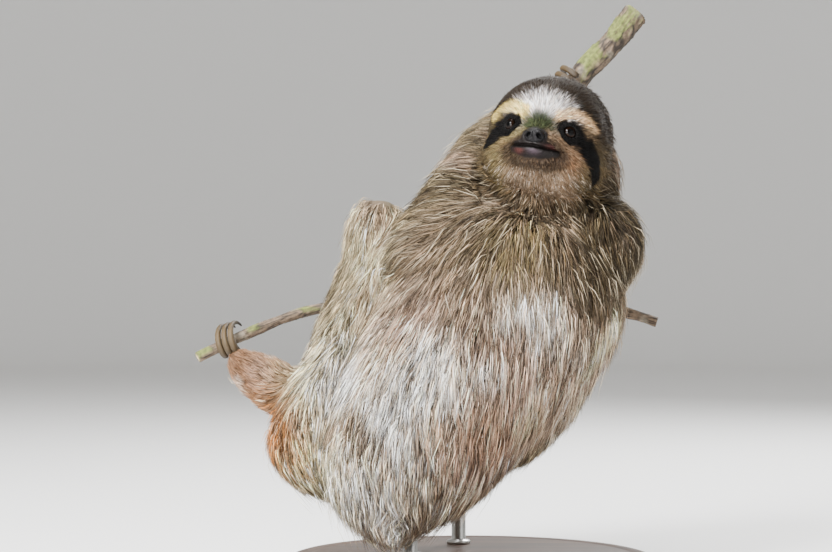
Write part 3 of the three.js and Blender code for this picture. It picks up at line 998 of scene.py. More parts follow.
def coat_plan(skin):
    """The coat at each point of the skin: its depth, a lock's length and width, and how many
    locks to a square centimetre. Each part's own values are moved toward the face's, then those
    near the nose and round the eyes, by the share of each place. The depth is what is missing
    to the body's outline, within limits."""
    table = np.array([COAT[kind_of(name)] for name in FLESH])
    plan = dict(zip(("depth", "length", "width", "many"), (skin.weights @ table).T))
    plan["depth"] = np.clip(skin.cover, 0.75 * plan["depth"], 1.9 * plan["depth"])
    crease = under_chin(skin.points, skin.weights)
    plan["depth"] = plan["depth"] * (1 - 0.65 * crease)
    plan["length"] = plan["length"] * (1 - 0.45 * crease)
    q = in_head(skin.points)
    on_head = smooth(0.5, 0.85, share_of(skin.weights, "head"))
    face = on_head * smooth(-4, -24, q[:, 1])
    near_nose = on_head * smooth(34, 12, np.linalg.norm(q - NOSE_AT, axis=1))
    _, _, _, edge = eye_place(q)
    by_eye = face * smooth(2.3, 1.3, edge)
    for share, aims in ((face, {"length": 7.0, "width": 0.46, "many": 165, "depth": 2.4}),
                        (near_nose, {"length": 3.6}),
                        (by_eye, {"length": 2.5, "width": 0.36, "many": 420, "depth": 0.7})):
        for name, aim in aims.items():
            plan[name] = plan[name] + share * (aim - plan[name])
    bald = smooth(0.4, 0.7, bare_mask(q)) * (q[:, 1] < -30)
    bald = np.maximum(bald, (edge < 1.0) & (q[:, 1] < FRONT))
    plan["many"] = plan["many"] * (1 - on_head * np.clip(bald, 0, 1))
    return plan


# ---------------------------------------------------------------- materials

def material(name, build, roughness, specular=0.5, metallic=0.0, coat=0.0, coat_roughness=0.03):
    """A material whose surface is one Principled shader: the values that are the same all over
    it, and what build(nodes, links, shader) adds."""
    made = bpy.data.materials.new(name)
    made.use_nodes = True
    nodes, links = made.node_tree.nodes, made.node_tree.links
    nodes.clear()
    out = nodes.new("ShaderNodeOutputMaterial")
    shader = nodes.new("ShaderNodeBsdfPrincipled")
    links.new(shader.outputs["BSDF"], out.inputs["Surface"])
    for socket, value in (("Roughness", roughness), ("Specular IOR Level", specular),
                          ("Metallic", metallic), ("Coat Weight", coat),
                          ("Coat Roughness", coat_roughness)):
        shader.inputs[socket].default_value = value
    build(nodes, links, shader)
    return made


def stored_on(nodes, name, output="Color"):
    """What is stored on the mesh under a name, as a colour, a vector or a number."""
    node = nodes.new("ShaderNodeAttribute")
    node.attribute_name = name
    return node.outputs[output]


def ramp(nodes, links, value, stops):
    """The colour at a value, 0 to 1, between (position, colour) stops in order."""
    node = nodes.new("ShaderNodeValToRGB")
    made = node.color_ramp.elements
    made[0].position, made[1].position = stops[0][0], stops[-1][0]
    for position, _ in stops[1:-1]:
        made.new(position)
    for stop, (_, colour) in zip(made, stops):
        stop.color = (*colour, 1)
    links.new(value, node.inputs["Fac"])
    return node.outputs["Color"]


def times(nodes, links, colour, value, share):
    """A colour multiplied by a value, by a share."""
    blend = nodes.new("ShaderNodeMix")
    blend.data_type = "RGBA"
    blend.blend_type = "MULTIPLY"
    blend.inputs["Factor"].default_value = share
    links.new(colour, blend.inputs["A"])
    links.new(value, blend.inputs["B"])
    return blend.outputs["Result"]


def spread(nodes, links, value, from_low, from_high, to_low, to_high):
    """A value moved from one span to another, and held within it."""
    span = nodes.new("ShaderNodeMapRange")
    for name, end in (("From Min", from_low), ("From Max", from_high), ("To Min", to_low),
                      ("To Max", to_high)):
        span.inputs[name].default_value = end
    links.new(value, span.inputs["Value"])
    return span.outputs["Result"]


def stretched(nodes, links, place, scale):
    """A place stretched by a scale along each axis."""
    node = nodes.new("ShaderNodeMapping")
    node.inputs["Scale"].default_value = scale
    links.new(place, node.inputs["Vector"])
    return node.outputs["Vector"]


def object_place(nodes):
    """The place on the piece, in its own axes and in metres."""
    return nodes.new("ShaderNodeTexCoord").outputs["Object"]


def grain_group():
    """The fine grain that several materials share, built once: cloud noise over a place, given
    out as a value and as the normal it bumps."""
    made = bpy.data.node_groups.get("fine_grain")
    if made:
        return made
    made = bpy.data.node_groups.new("fine_grain", "ShaderNodeTree")
    for name, kind in (("Place", "Vector"), ("Scale", "Float"), ("Detail", "Float"),
                       ("Strength", "Float"), ("Height", "Float")):
        made.interface.new_socket(name, in_out="INPUT", socket_type="NodeSocket" + kind)
    made.interface.new_socket("Value", in_out="OUTPUT", socket_type="NodeSocketFloat")
    made.interface.new_socket("Normal", in_out="OUTPUT", socket_type="NodeSocketVector")
    nodes, links = made.nodes, made.links
    given, result = nodes.new("NodeGroupInput"), nodes.new("NodeGroupOutput")
    noise, bump = nodes.new("ShaderNodeTexNoise"), nodes.new("ShaderNodeBump")
    links.new(given.outputs["Place"], noise.inputs["Vector"])
    links.new(given.outputs["Scale"], noise.inputs["Scale"])
    links.new(given.outputs["Detail"], noise.inputs["Detail"])
    links.new(given.outputs["Strength"], bump.inputs["Strength"])
    links.new(given.outputs["Height"], bump.inputs["Distance"])
    links.new(noise.outputs["Fac"], bump.inputs["Height"])
    links.new(noise.outputs["Fac"], result.inputs["Value"])
    links.new(bump.outputs["Normal"], result.inputs["Normal"])
    return made


def grain(nodes, links, shader, place, scale, detail, strength, height):
    """The shared grain placed in a material with its own values, bumping its shader; the height
    is in metres."""
    node = nodes.new("ShaderNodeGroup")
    node.node_tree = grain_group()
    for name, value in (("Scale", scale), ("Detail", detail), ("Strength", strength),
                        ("Height", height)):
        node.inputs[name].default_value = value
    links.new(place, node.inputs["Place"])
    links.new(node.outputs["Normal"], shader.inputs["Normal"])
    return node.outputs["Value"]


def fur_material(name, roughness, specular):
    """Hair in the colour stored on each lock."""
    def build(nodes, links, shader):
        links.new(stored_on(nodes, "tint"), shader.inputs["Base Color"])
    return material(name, build, roughness, specular)


def skin_material():
    """Skin in its stored colour, dull under the coat and smoother where it is bare."""
    def build(nodes, links, shader):
        links.new(stored_on(nodes, "tint"), shader.inputs["Base Color"])
        rough = spread(nodes, links, stored_on(nodes, "bare", "Fac"), 0, 1, 0.9, 0.46)
        links.new(rough, shader.inputs["Roughness"])
        grain(nodes, links, shader, object_place(nodes), 900, 3, 0.35, 0.0004)
    return material("sloth_skin", build, 0.5, 0.13)


def plain_material(name, colour, roughness, metallic=0.0):
    """One colour with a slight grain."""
    def build(nodes, links, shader):
        shader.inputs["Base Color"].default_value = (*colour, 1)
        grain(nodes, links, shader, object_place(nodes), 300, 2, 0.1, 0.0003)
    return material(name, build, roughness, metallic=metallic)


# ---------------------------------------------------------------- the coat

# Shares of a lock's length where it is bent and where its tip is, and how much of its rise it
# has there.
STEPS = (0.28, 0.66, 1.0)
HEIGHTS = (0.5, 0.9, 1.0)
LEADERS = 0.26  # the share of locks that draw the others into strands
UNDER_COAT = 0.42  # how bright the skin is, against the coat over it

# One lock: a point at its root, three round its thickest place and one at its tip. Its
# triangles, each point's colour among root, middle and tip, and the places of its points on its
# patch of the unwrap, 0.0028 across and along. Then its girth, against its given width.
LOCK_FACES = np.array([[0, 2, 1], [0, 3, 2], [0, 1, 3], [1, 2, 4], [2, 3, 4], [3, 1, 4]])
LOCK_TONES = np.array([0, 1, 1, 1, 2])
LOCK_PATCH = 0.0014 * np.array([[0, -1], [-1, 1 / 3], [1, 1 / 3], [0, 1 / 3], [0, 1]])
LOCK_GIRTH = 0.95


def plant(skin, seed, thin):
    """Roots of the locks: places spread over the skin in proportion to area times density,
    evenly along the running total, each at a random place in its triangle."""
    rng = np.random.default_rng(seed)
    plan = coat_plan(skin)
    a, b, c = skin.points[skin.faces].transpose(1, 0, 2)
    area = np.linalg.norm(np.cross(b - a, c - a), axis=1) / 2
    expect = area / 100 * plan["many"][skin.faces].mean(1) * thin
    total = np.cumsum(expect)
    count = int(total[-1])
    chosen = np.searchsorted(total, (np.arange(count) + rng.random(count)) * total[-1] / count)
    chosen = np.minimum(chosen, len(total) - 1)
    r = np.sqrt(rng.random(count))
    s = rng.random(count)
    share = np.column_stack([1 - r, r * (1 - s), r * s])

    def at(values):
        # The triangle's three values, each by its share.
        values = values[:, None] if values.ndim == 1 else values
        return (values[skin.faces[chosen]] * share[:, :, None]).sum(1)

    locks = {name: at(plan[name])[:, 0] for name in ("length", "width", "depth")}
    locks.update(root=at(skin.points), normal=unit(at(skin.normals)), lie=unit(at(skin.lie)),
                 weights=at(skin.weights), luck=rng.random(count),
                 flat=(skin.corners[chosen] * share[:, :, None]).sum(1))
    return locks


def grow(tree, locks, seed):
    """Runs each lock from its root along the skin: at every step it moves on by a share of its
    length the way the hair lies, turned a little by noise that neighbours share and a little
    of its own, and rises toward the coat's outline. On the underside it lets go of the skin
    and hangs. Its tip is then drawn toward the tip of the nearest leading lock. Gives back each
    lock's root, bends and tip, and the ways up and to the side at its second bend."""
    rng = np.random.default_rng(seed)
    root, normal, way = locks["root"], locks["normal"], locks["lie"]
    count = len(root)
    on_body = 1 - smooth(0.4, 0.8, share_of(locks["weights"], "head"))
    length = locks["length"] * rng.uniform(0.7, 1.2, count)
    wave = ripple(root, 34, seed + 1) * 0.10 + ripple(root, 9, seed + 2) * 0.07
    turn = wave * (0.4 + 0.6 * on_body) + rng.normal(0, 0.10, count)
    # A few locks stray, more of them high up, by the seat and on the right flank.
    stray = rng.random(count) < (0.009 + 0.008 * smooth(220, 280, root[:, 2])
                                 + 0.03 * smooth(110, 60, root[:, 2])
                                 + 0.010 * smooth(40, 90, root[:, 0]))
    locks["stray"] = stray.astype(float)
    length = np.where(stray, length * 1.2, length)
    turn = np.where(stray, turn + rng.normal(0, 0.24, count), turn)
    # One in seven off the head stands a third higher, and the coat on the left of the seat
    # half as high again.
    rise = rng.uniform(0.5, 1.08, count) + 0.12 * ripple(root, 11, seed + 3)
    rise = np.where(rng.random(count) < 0.14 * on_body, rise * 1.35, rise)
    rise = np.where(stray, rise * 1.5, rise) * locks["depth"]
    seat = smooth(115, 75, root[:, 2]) * smooth(-30, -75, root[:, 0])
    rise = rise * (1 + 0.5 * seat)
    side = np.cross(normal, way)
    way = unit(way * np.cos(turn)[:, None] + side * np.sin(turn)[:, None])
    path, frames = [root - normal * 0.8], []
    ground, loose, here = root, np.zeros(count), root
    drop = np.array([0.0, 0.0, -1.0])
    last = 0.0
    for share, height in zip(STEPS, HEIGHTS):
        target = ground + way * (length * (share - last))[:, None]
        ground, up, lie = read(tree, ["place", "up", "lie"], target)
        up = unit(up)
        side = np.cross(up, lie)
        bend = turn * (1 - 0.5 * share)
        wanted = unit(lie * np.cos(bend)[:, None] + side * np.sin(bend)[:, None])
        # A lock keeps nearly half of its own way and takes the rest from the hair's.
        way = unit(0.45 * way + 0.55 * wanted)
        way = unit(along_skin(way, up))
        over = smooth(0.0, -0.55, up[:, 2]) * on_body * smooth(0, -0.5, way[:, 2])
        loose = np.maximum(loose, over)
        free = here + unit(mix(way, drop, 0.45)) * (length * (share - last))[:, None]
        on_skin = ground + up * (rise * height)[:, None]
        here = mix(on_skin, free, 0.45 * loose)
        path.append(here)
        frames.append((up, unit(np.cross(way, up))))
        last = share
    path = np.stack(path, 1)
    leader = rng.random(count) < LEADERS
    index = nearest(root, root[leader])
    locks["strand"] = index
    paw = share_of(locks["weights"], *PAWS)
    gather = rng.uniform(0.4, 0.85, count) * (1 - 0.6 * np.maximum(1 - on_body, paw))
    gather = gather * (1 - 0.35 * smooth(190, 250, root[:, 2]))
    gather = (gather * np.where(stray, 0.2, 1))[:, None]
    # The further along a lock, the more of the way it goes to its leader.
    for k, share in enumerate(STEPS):
        goal = path[leader][index, k + 1]
        path[:, k + 1] += gather * share ** 1.5 * (goal - path[:, k + 1])
    locks["seen"] = path[:, 2]
    return path, frames[1]


def lock_solid(path, up, side, width, early):
    """Closed three-sided spindles along the paths: a point at the root, two points to the sides
    and one above where the lock is thickest, and a point at the tip. The thickest place is drawn
    back from the second bend toward the first by the share early."""
    half = (width * 0.5 * LOCK_GIRTH)[:, None]
    at = mix(path[:, 2], path[:, 1], early)
    points = np.stack([path[:, 0], at - side * half, at + side * half, at + up * half * 1.1,
                       path[:, -1]], 1)
    faces = LOCK_FACES[None] + (np.arange(len(path)) * points.shape[1])[:, None, None]
    return points.reshape(-1, 3), faces.reshape(-1, 3)


def lock_tones(locks, seed):
    """Each lock's colours at its root, middle and tip: the coat's colour where it is seen, with its
    markings and its painted light and shade, on the body at its second bend and on the head at its
    root, darker underneath and paler at the tip. The locks of one strand are light or dark together,
    and each varies a little by itself."""
    rng = np.random.default_rng(seed)
    on_head = smooth(0.4, 0.8, share_of(locks["weights"], "head"))
    at = mix(locks["seen"], locks["root"], on_head)
    base = coat_tones(at, locks["weights"], locks["luck"])
    count = len(base)
    q = in_head(locks["root"])
    face = on_head * smooth(0, -20, q[:, 1])
    strands = locks["strand"].max() + 1
    paw = share_of(locks["weights"], *PAWS)
    calm = 1 - 0.75 * np.maximum(face, paw)
    # A strand's brightness is e to the power of a normal draw. Three strands in ten are mostly
    # dark, and so is one lock in five by itself.
    shade = np.exp(rng.normal(0.16, 0.52, strands))
    dark = (rng.random(strands) < 0.3)[locks["strand"]] * rng.uniform(0.6, 0.97, count) * calm
    shade = shade[locks["strand"]] ** calm
    bright = shade * np.exp(rng.normal(0, 1, count) * (0.32 - 0.06 * face))
    base = base * bright[:, None]
    warm = rng.normal(0, 0.06, count)[:, None] * np.array([1.0, 0.1, -0.9])
    base = np.clip(base * (1 + warm), 0.003, 0.95)
    high = smooth(205, 262, locks["root"][:, 2])
    dark = np.maximum(dark, (rng.random(count) < 0.2) * 0.9 * calm)
    base = mix(base, COLOURS["gap"], dark * (1 - on_head) * (1 - 0.4 * high))
    base = mix(base, COLOURS["wisp"], locks["stray"] * rng.uniform(0.15, 0.6, count) * (1 - on_head))
    fade = 1 + (np.array([0.2, 1.0, 1.25]) - 1) * (1 - 0.5 * face)[:, None]
    return np.clip(base[:, None] * fade[:, :, None], 0, 0.97)


COAT_PIECES = [  # a name, and which parts of the body it covers
    ("head", ("head",)), ("neck", ("neck",)), ("trunk", ("trunk", "tail")),
    ("arm_left", ("upper_arm_left", "forearm_left")),
    ("arm_right", ("upper_arm_right", "forearm_right")),
    ("leg_left", ("thigh_left", "shank_left")), ("leg_right", ("thigh_right", "shank_right")),
    ("paw_left", ("hand_left", "foot_left")), ("paw_right", ("hand_right", "foot_right")),
]
MOST_TRIANGLES = 185000  # in one piece
ROOT_SEED, PATH_SEED, WIDTH_SEED, TONE_SEED = 41, 43, 47, 53


# ---------------------------------------------------------------- settings

class StageSettings(bpy.types.PropertyGroup):
    floor_tone: bpy.props.FloatProperty(
        name="Floor tone", description="How pale the floor and backdrop are",
        default=0.82, min=0.1, max=1.0, subtype="FACTOR")
    light: bpy.props.FloatProperty(
        name="Light", description="Strength of the soft lights together", default=1.0, min=0.1)


class CoatSettings(bpy.types.PropertyGroup):
    fullness: bpy.props.FloatProperty(
        name="Fullness", description="How many locks, against the usual number",
        default=1.0, min=0.05, max=1.3)
    length: bpy.props.FloatProperty(
        name="Length", description="How long the locks are, against their usual length",
        default=1.0, min=0.3, max=1.5)
    tint: bpy.props.FloatVectorProperty(
        name="Tint", description="What every colour of the coat is multiplied by",
        default=(1.0, 1.0, 1.0), min=0.0, max=1.0, size=3, subtype="COLOR")


class SkinSettings(bpy.types.PropertyGroup):
    grid: bpy.props.FloatProperty(
        name="Grid", description="Size of the skin's triangles away from the face",
        default=0.0034, min=0.002, max=0.008, unit="LENGTH")


class EyeSettings(bpy.types.PropertyGroup):
    radius: bpy.props.FloatProperty(
        name="Radius", description="Radius of each eye", default=EYE_RADIUS * MM,
        min=0.003, max=0.009, unit="LENGTH")
    iris: bpy.props.FloatVectorProperty(
        name="Iris", description="Colour of the brown ring round each pupil",
        default=(0.006, 0.0025, 0.001), min=0.0, max=1.0, size=3, subtype="COLOR")


class ClawSettings(bpy.types.PropertyGroup):
    horn: bpy.props.FloatVectorProperty(
        name="Horn", description="Colour of each claw near its middle",
        default=tuple(tone("#5c4a2e")), min=0.0, max=1.0, size=3, subtype="COLOR")


class PerchSettings(bpy.types.PropertyGroup):
    bark: bpy.props.FloatVectorProperty(
        name="Bark", description="Colour of the bark between its furrows",
        default=tuple(tone("#6b5a49")), min=0.0, max=1.0, size=3, subtype="COLOR")
    moss: bpy.props.FloatVectorProperty(
        name="Moss", description="Colour of the moss on the lit side",
        default=tuple(tone("#66702f")), min=0.0, max=1.0, size=3, subtype="COLOR")


class StandSettings(bpy.types.PropertyGroup):
    wood: bpy.props.FloatVectorProperty(
        name="Wood", description="Colour of the base between its dark figure",
        default=tuple(tone("#5a3d28")), min=0.0, max=1.0, size=3, subtype="COLOR")
    steel: bpy.props.FloatVectorProperty(
        name="Steel", description="Colour of the two rods",
        default=tuple(tone("#b5b5b2")), min=0.0, max=1.0, size=3, subtype="COLOR")


def settings():
    """The scene's own settings for the sloth."""
    return bpy.context.scene.sloth


class SlothSettings(bpy.types.PropertyGroup):
    stage: bpy.props.PointerProperty(type=StageSettings)
    coat: bpy.props.PointerProperty(type=CoatSettings)
    skin: bpy.props.PointerProperty(type=SkinSettings)
    eye: bpy.props.PointerProperty(type=EyeSettings)
    claw: bpy.props.PointerProperty(type=ClawSettings)
    perch: bpy.props.PointerProperty(type=PerchSettings)
    stand: bpy.props.PointerProperty(type=StandSettings)


# ---------------------------------------------------------------- operators

MADE = {}  # what a later operator takes from an earlier one


def finished(piece, replaced=()):
    """Fixes a piece to the one body, and hides the nodes it stands for."""
    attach(piece, "root")
    if replaced:
        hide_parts(*replaced)


class SLOTH_OT_stage(bpy.types.Operator):
    """Pale floor and backdrop, soft lights and the camera"""

    bl_idname = "sloth.stage"
    bl_label = "Stage"

    def execute(self, context):
        scene = context.scene
        pale = settings().stage.floor_tone
        ground = plain_material("studio_floor", (pale, pale, pale * 0.99), 0.9)
        # A level disc that bends up at its edge, by a quarter circle, to a round wall.
        bend = np.linspace(0, math.pi / 2, 20)[1:]
        profile = [(0.1, 0), (1200, 0), (LEVEL, 0)]
        profile += [(LEVEL + BEND * math.sin(a), BEND - BEND * math.cos(a)) for a in bend]
        rings = turned(profile + [(LEVEL + BEND, BACKDROP_TOP)], 96)
        faces = ring_faces(*rings.shape[:2])
        top = rings.size // 3 + 1
        floor = make_mesh("studio_sweep", with_ends(rings), faces[~(faces == top).any(1)], ground)
        world = bpy.data.worlds.new("studio_air")
        world.use_nodes = True
        air = world.node_tree.nodes["Background"]
        air.inputs["Color"].default_value = (1.0, 0.97, 0.93, 1)
        air.inputs["Strength"].default_value = 0.42
        scene.world = world
        for name, at, size, watts in LIGHTS:
            light = bpy.data.lights.new(name, "AREA")
            light.shape = "DISK"
            light.size = size * MM
            light.energy = watts * settings().stage.light
            lamp = bpy.data.objects.new(name, light)
            lamp.location = np.array(at) * MM
            lamp.rotation_euler = turn_back(np.array(at) - AIM)
            scene.collection.objects.link(lamp)
        lens = bpy.data.cameras.new("camera")
        lens.sensor_width = 36
        lens.angle = 2 * math.atan(0.5 * VIEW_WIDE / VIEW_FAR)
        lens.clip_start, lens.clip_end = 0.05, 60
        camera = bpy.data.objects.new("camera", lens)
        camera.location = CAMERA_AT
        camera.rotation_euler = (math.pi / 2, 0, 0)
        scene.collection.objects.link(camera)
        scene.camera = camera
        return {"FINISHED"}


def turn_back(away):
    """The turn that points a lamp's -Z back along a direction: its tilt from upright, then its
    heading and a quarter turn."""
    x, y, z = away
    return (math.atan2(math.hypot(x, y), z), 0, math.atan2(y, x) + math.pi / 2)


class SLOTH_OT_skin(bpy.types.Operator):
    """One skin under the whole coat, with the face worked in it"""

    bl_idname = "sloth.skin"
    bl_label = "Skin"

    def execute(self, context):
        skin = Skin().build(settings().skin.grid / MM)
        MADE["skin"] = skin
        piece = make_mesh("skin", skin.points, skin.faces, skin_material())
        q = in_head(skin.points)
        on_head = smooth(0.35, 0.75, share_of(skin.weights, "head"))
        bare = bare_mask(q) * on_head
        _, _, _, edge = eye_place(q)
        on_front = on_head * (q[:, 1] < FRONT)
        ring = smooth(2.6, 2.0, edge) * on_front
        lids = smooth(1.22, 1.06, edge) * on_front
        tones = coat_tones(skin.points, skin.weights) * UNDER_COAT
        tones = mix(tones, bare_tones(q), bare)
        tones = mix(tones, COLOURS["black"] * 0.3, ring)
        put(piece.data, "tint", tones)
        put(piece.data, "bare", np.maximum(bare, 0.6 * lids), "FLOAT")
        put(piece.data, "up", skin.normals, "FLOAT_VECTOR")
        put(piece.data, "lie", skin.lie, "FLOAT_VECTOR")
        put_unwrap(piece.data, inset(skin.corners))
        finished(piece, FLESH)
        MADE["skin_piece"] = piece
        return {"FINISHED"}


def ball(rows, columns):
    """Directions over a sphere as closed rings, from almost one pole to the other along -Y: the
    sine of the angle from the pole times the cosine and sine round it, and its cosine."""
    polar = np.linspace(0.01, math.pi - 0.01, rows)[:, None]
    around = np.linspace(0, 2 * math.pi, columns, endpoint=False)[None]
    return np.stack([np.sin(polar) * np.cos(around), -np.cos(polar) + 0 * around,
                     np.sin(polar) * np.sin(around)], -1)


class SLOTH_OT_eyes(bpy.types.Operator):
    """The two eyes: a ball with a glossy bulge in front of a brown iris"""

    bl_idname = "sloth.eyes"
    bl_label = "Eyes"

    def execute(self, context):
        radius = settings().eye.radius / MM

        def build(nodes, links, shader):
            colour = ramp(nodes, links, stored_on(nodes, "iris", "Fac"), (
                (0.0, (0.002, 0.002, 0.002)), (0.42, (0.001, 0.001, 0.001)),
                (0.52, settings().eye.iris), (0.80, (0.004, 0.0018, 0.001)),
                (0.90, (0.002, 0.0015, 0.001)), (1.0, (0.002, 0.0015, 0.001))))
            links.new(colour, shader.inputs["Base Color"])
        glass = material("sloth_eye", build, 0.05, 0.09)
        # A ball swollen by a twentieth where it looks out, as a bell of the angle from there.
        rings = ball(41, 48)
        tilt = np.arccos(np.clip(-rings[..., 1], -1, 1))
        swell = 1 + 0.05 * bell(tilt, 0.55)
        for side, sign in zip(SIDES, (-1, 1)):
            at = EYE_AT * [sign, 1, 1]
            out = unit(at)
            right = unit(np.cross(out, [0, 0, 1.0]))
            up = np.cross(right, out)
            shape = rings[..., 0:1] * right - rings[..., 1:2] * out + rings[..., 2:3] * up
            points, faces = tube(shape * (radius * 0.985 * swell)[..., None] + at)
            eye = make_mesh(f"eye_ball_{side}", from_head(points), faces, glass)
            value = np.append((tilt / 0.95).ravel(), [0, 3.0])
            put(eye.data, "iris", np.clip(value, 0, 1), "FLOAT")
            finished(eye, [f"eye_{side}"])
        return {"FINISHED"}


class SLOTH_OT_nose(bpy.types.Operator):
    """The naked nose pad with its two nostrils"""

    bl_idname = "sloth.nose"
    bl_label = "Nose"

    def execute(self, context):
        # A ball with each direction raised to the power 0.92, so a little squarer, times its
        # half sizes. Its front is pushed in by the nostrils, a slit that runs out from each and
        # a groove between them, and out by their rims and the pores.
        rings = ball(61, 84)
        shape = np.sign(rings) * np.abs(rings) ** 0.92 * NOSE_HALF
        x, y, z = shape[..., 0], shape[..., 1], shape[..., 2]
        front = smooth(1.0, -1.5, y)
        side = np.abs(x)
        hole = np.hypot((side - 4.1 + 0.25 * (z + 0.5)) / 1.8, (z + 0.5) / 2.1)
        dent = 3.0 * smooth(1.15, 0.35, hole)
        slit = 1.4 * bell(z + 1.5 + 0.25 * (side - 6), 0.7) * smooth(4.6, 6.2, side)
        rim = 0.55 * bell(hole - 1.35, 0.35)
        groove = 0.7 * bell(x, 0.6) * smooth(0.5, -2.5, z)
        pores = 0.10 * ripple(shape.reshape(-1, 3), 1.5, 8).reshape(x.shape)
        move = (dent + slit + groove - rim - pores) * front
        shape = shape + np.stack([0 * move, move, 0 * move], -1)
        points, faces = tube(shape + NOSE_AT)
        # Painted shade: the nostrils' hollows are coloured darker than the pad.
        inside = np.append(smooth(1.2, 0.6, hole) * front, [0, 0])

        def build(nodes, links, shader):
            colour = ramp(nodes, links, stored_on(nodes, "hole", "Fac"), (
                (0.0, (0.0035, 0.003, 0.0035)), (1.0, (0.001, 0.001, 0.001))))
            links.new(colour, shader.inputs["Base Color"])
            cells = nodes.new("ShaderNodeTexVoronoi")
            cells.inputs["Scale"].default_value = 1300
            links.new(object_place(nodes), cells.inputs["Vector"])
            bump = nodes.new("ShaderNodeBump")
            bump.inputs["Strength"].default_value = 0.35
            bump.inputs["Distance"].default_value = 0.0003
            links.new(cells.outputs["Distance"], bump.inputs["Height"])
            links.new(bump.outputs["Normal"], shader.inputs["Normal"])
        naked = material("sloth_nose", build, 0.4, 0.14)
        nose = make_mesh("nose_pad", from_head(points), faces, naked)
        put(nose.data, "hole", inside, "FLOAT")
        finished(nose, ["nose"])
        return {"FINISHED"}


def claw_path(hold, offset, rows):
    """A claw's middle line, half depths and two section directions: a circular arc round the
    branch, opening a little, thinner toward its tip."""
    grip, along, palm, toward, reach, sweep = hold
    axis = unit(np.array(along, float))
    start = np.array(palm, float)
    start = unit(start - axis * (start @ axis))
    over = np.cross(axis, start)
    over = over if over @ np.array(toward, float) > 0 else -over
    share = np.linspace(0, 1, rows)
    angle = np.radians(share * sweep - CLAW_START)[:, None]
    far = (reach * (1 + 0.12 * share))[:, None]
    out = np.cos(angle) * start + np.sin(angle) * over
    half = CLAW_HALF[0] + (CLAW_HALF[1] - CLAW_HALF[0]) * share ** 1.4
    line = np.array(grip) + axis * offset + out * far + SHIFT
    return line, half, out, axis, share


class SLOTH_OT_claws(bpy.types.Operator):
    """The twelve hooked claws"""

    bl_idname = "sloth.claws"
    bl_label = "Claws"

    def execute(self, context):
        def build(nodes, links, shader):
            growth = stored_on(nodes, "growth", "Vector")
            split = nodes.new("ShaderNodeSeparateXYZ")
            links.new(growth, split.inputs["Vector"])
            colour = ramp(nodes, links, split.outputs["X"], (
                (0.0, tone("#33281b")), (0.45, settings().claw.horn), (1.0, tone("#241a12"))))
            place = stretched(nodes, links, growth, (4, 34, 34))
            streak = grain(nodes, links, shader, place, 1.0, 4, 0.4, 0.0004)
            colour = times(nodes, links, colour, streak, 0.6)
            links.new(colour, shader.inputs["Base Color"])
        horn = material("sloth_claw", build, 0.55, 0.3)
        # Round its middle line a claw is an oval three quarters as wide as it is deep, flat on
        # its outer side and keener toward the branch, with slight growth rings, drawn shut at
        # both ends.
        rows, columns = 40, 16
        around = np.linspace(0, 2 * math.pi, columns, endpoint=False)
        for paw, hold in HOLDS.items():
            end = paw.split("_")[0]
            for digit in (-1, 0, 1):
                line, half, out, axis, share = claw_path(hold, digit * CLAW_SPACING[end], rows)
                close = np.sqrt(np.maximum(1 - np.abs(2 * share - 1) ** 26, 0.002))
                half = half * close * (1 + 0.02 * np.sin(share * 70))
                wide = (half * 0.75)[:, None] * np.cos(around)
                deep = half[:, None] * (np.sin(around) + 0.18 * np.cos(2 * around) - 0.1)
                rings = line[:, None] + wide[..., None] * axis + deep[..., None] * out[:, None]
                points, faces = tube(rings)
                name = f"{paw}_{digit + 2}"
                claw = make_mesh(f"hook_{name}", points, faces, horn)
                growth = np.stack(np.broadcast_arrays(share[:, None], np.cos(around),
                                                      np.sin(around)), -1).reshape(-1, 3)
                growth = np.concatenate([growth, [[0, 0, 0], [1, 0, 0]]])
                put(claw.data, "growth", growth, "FLOAT_VECTOR")
                finished(claw, [f"claw_{name}"])
        return {"FINISHED"}


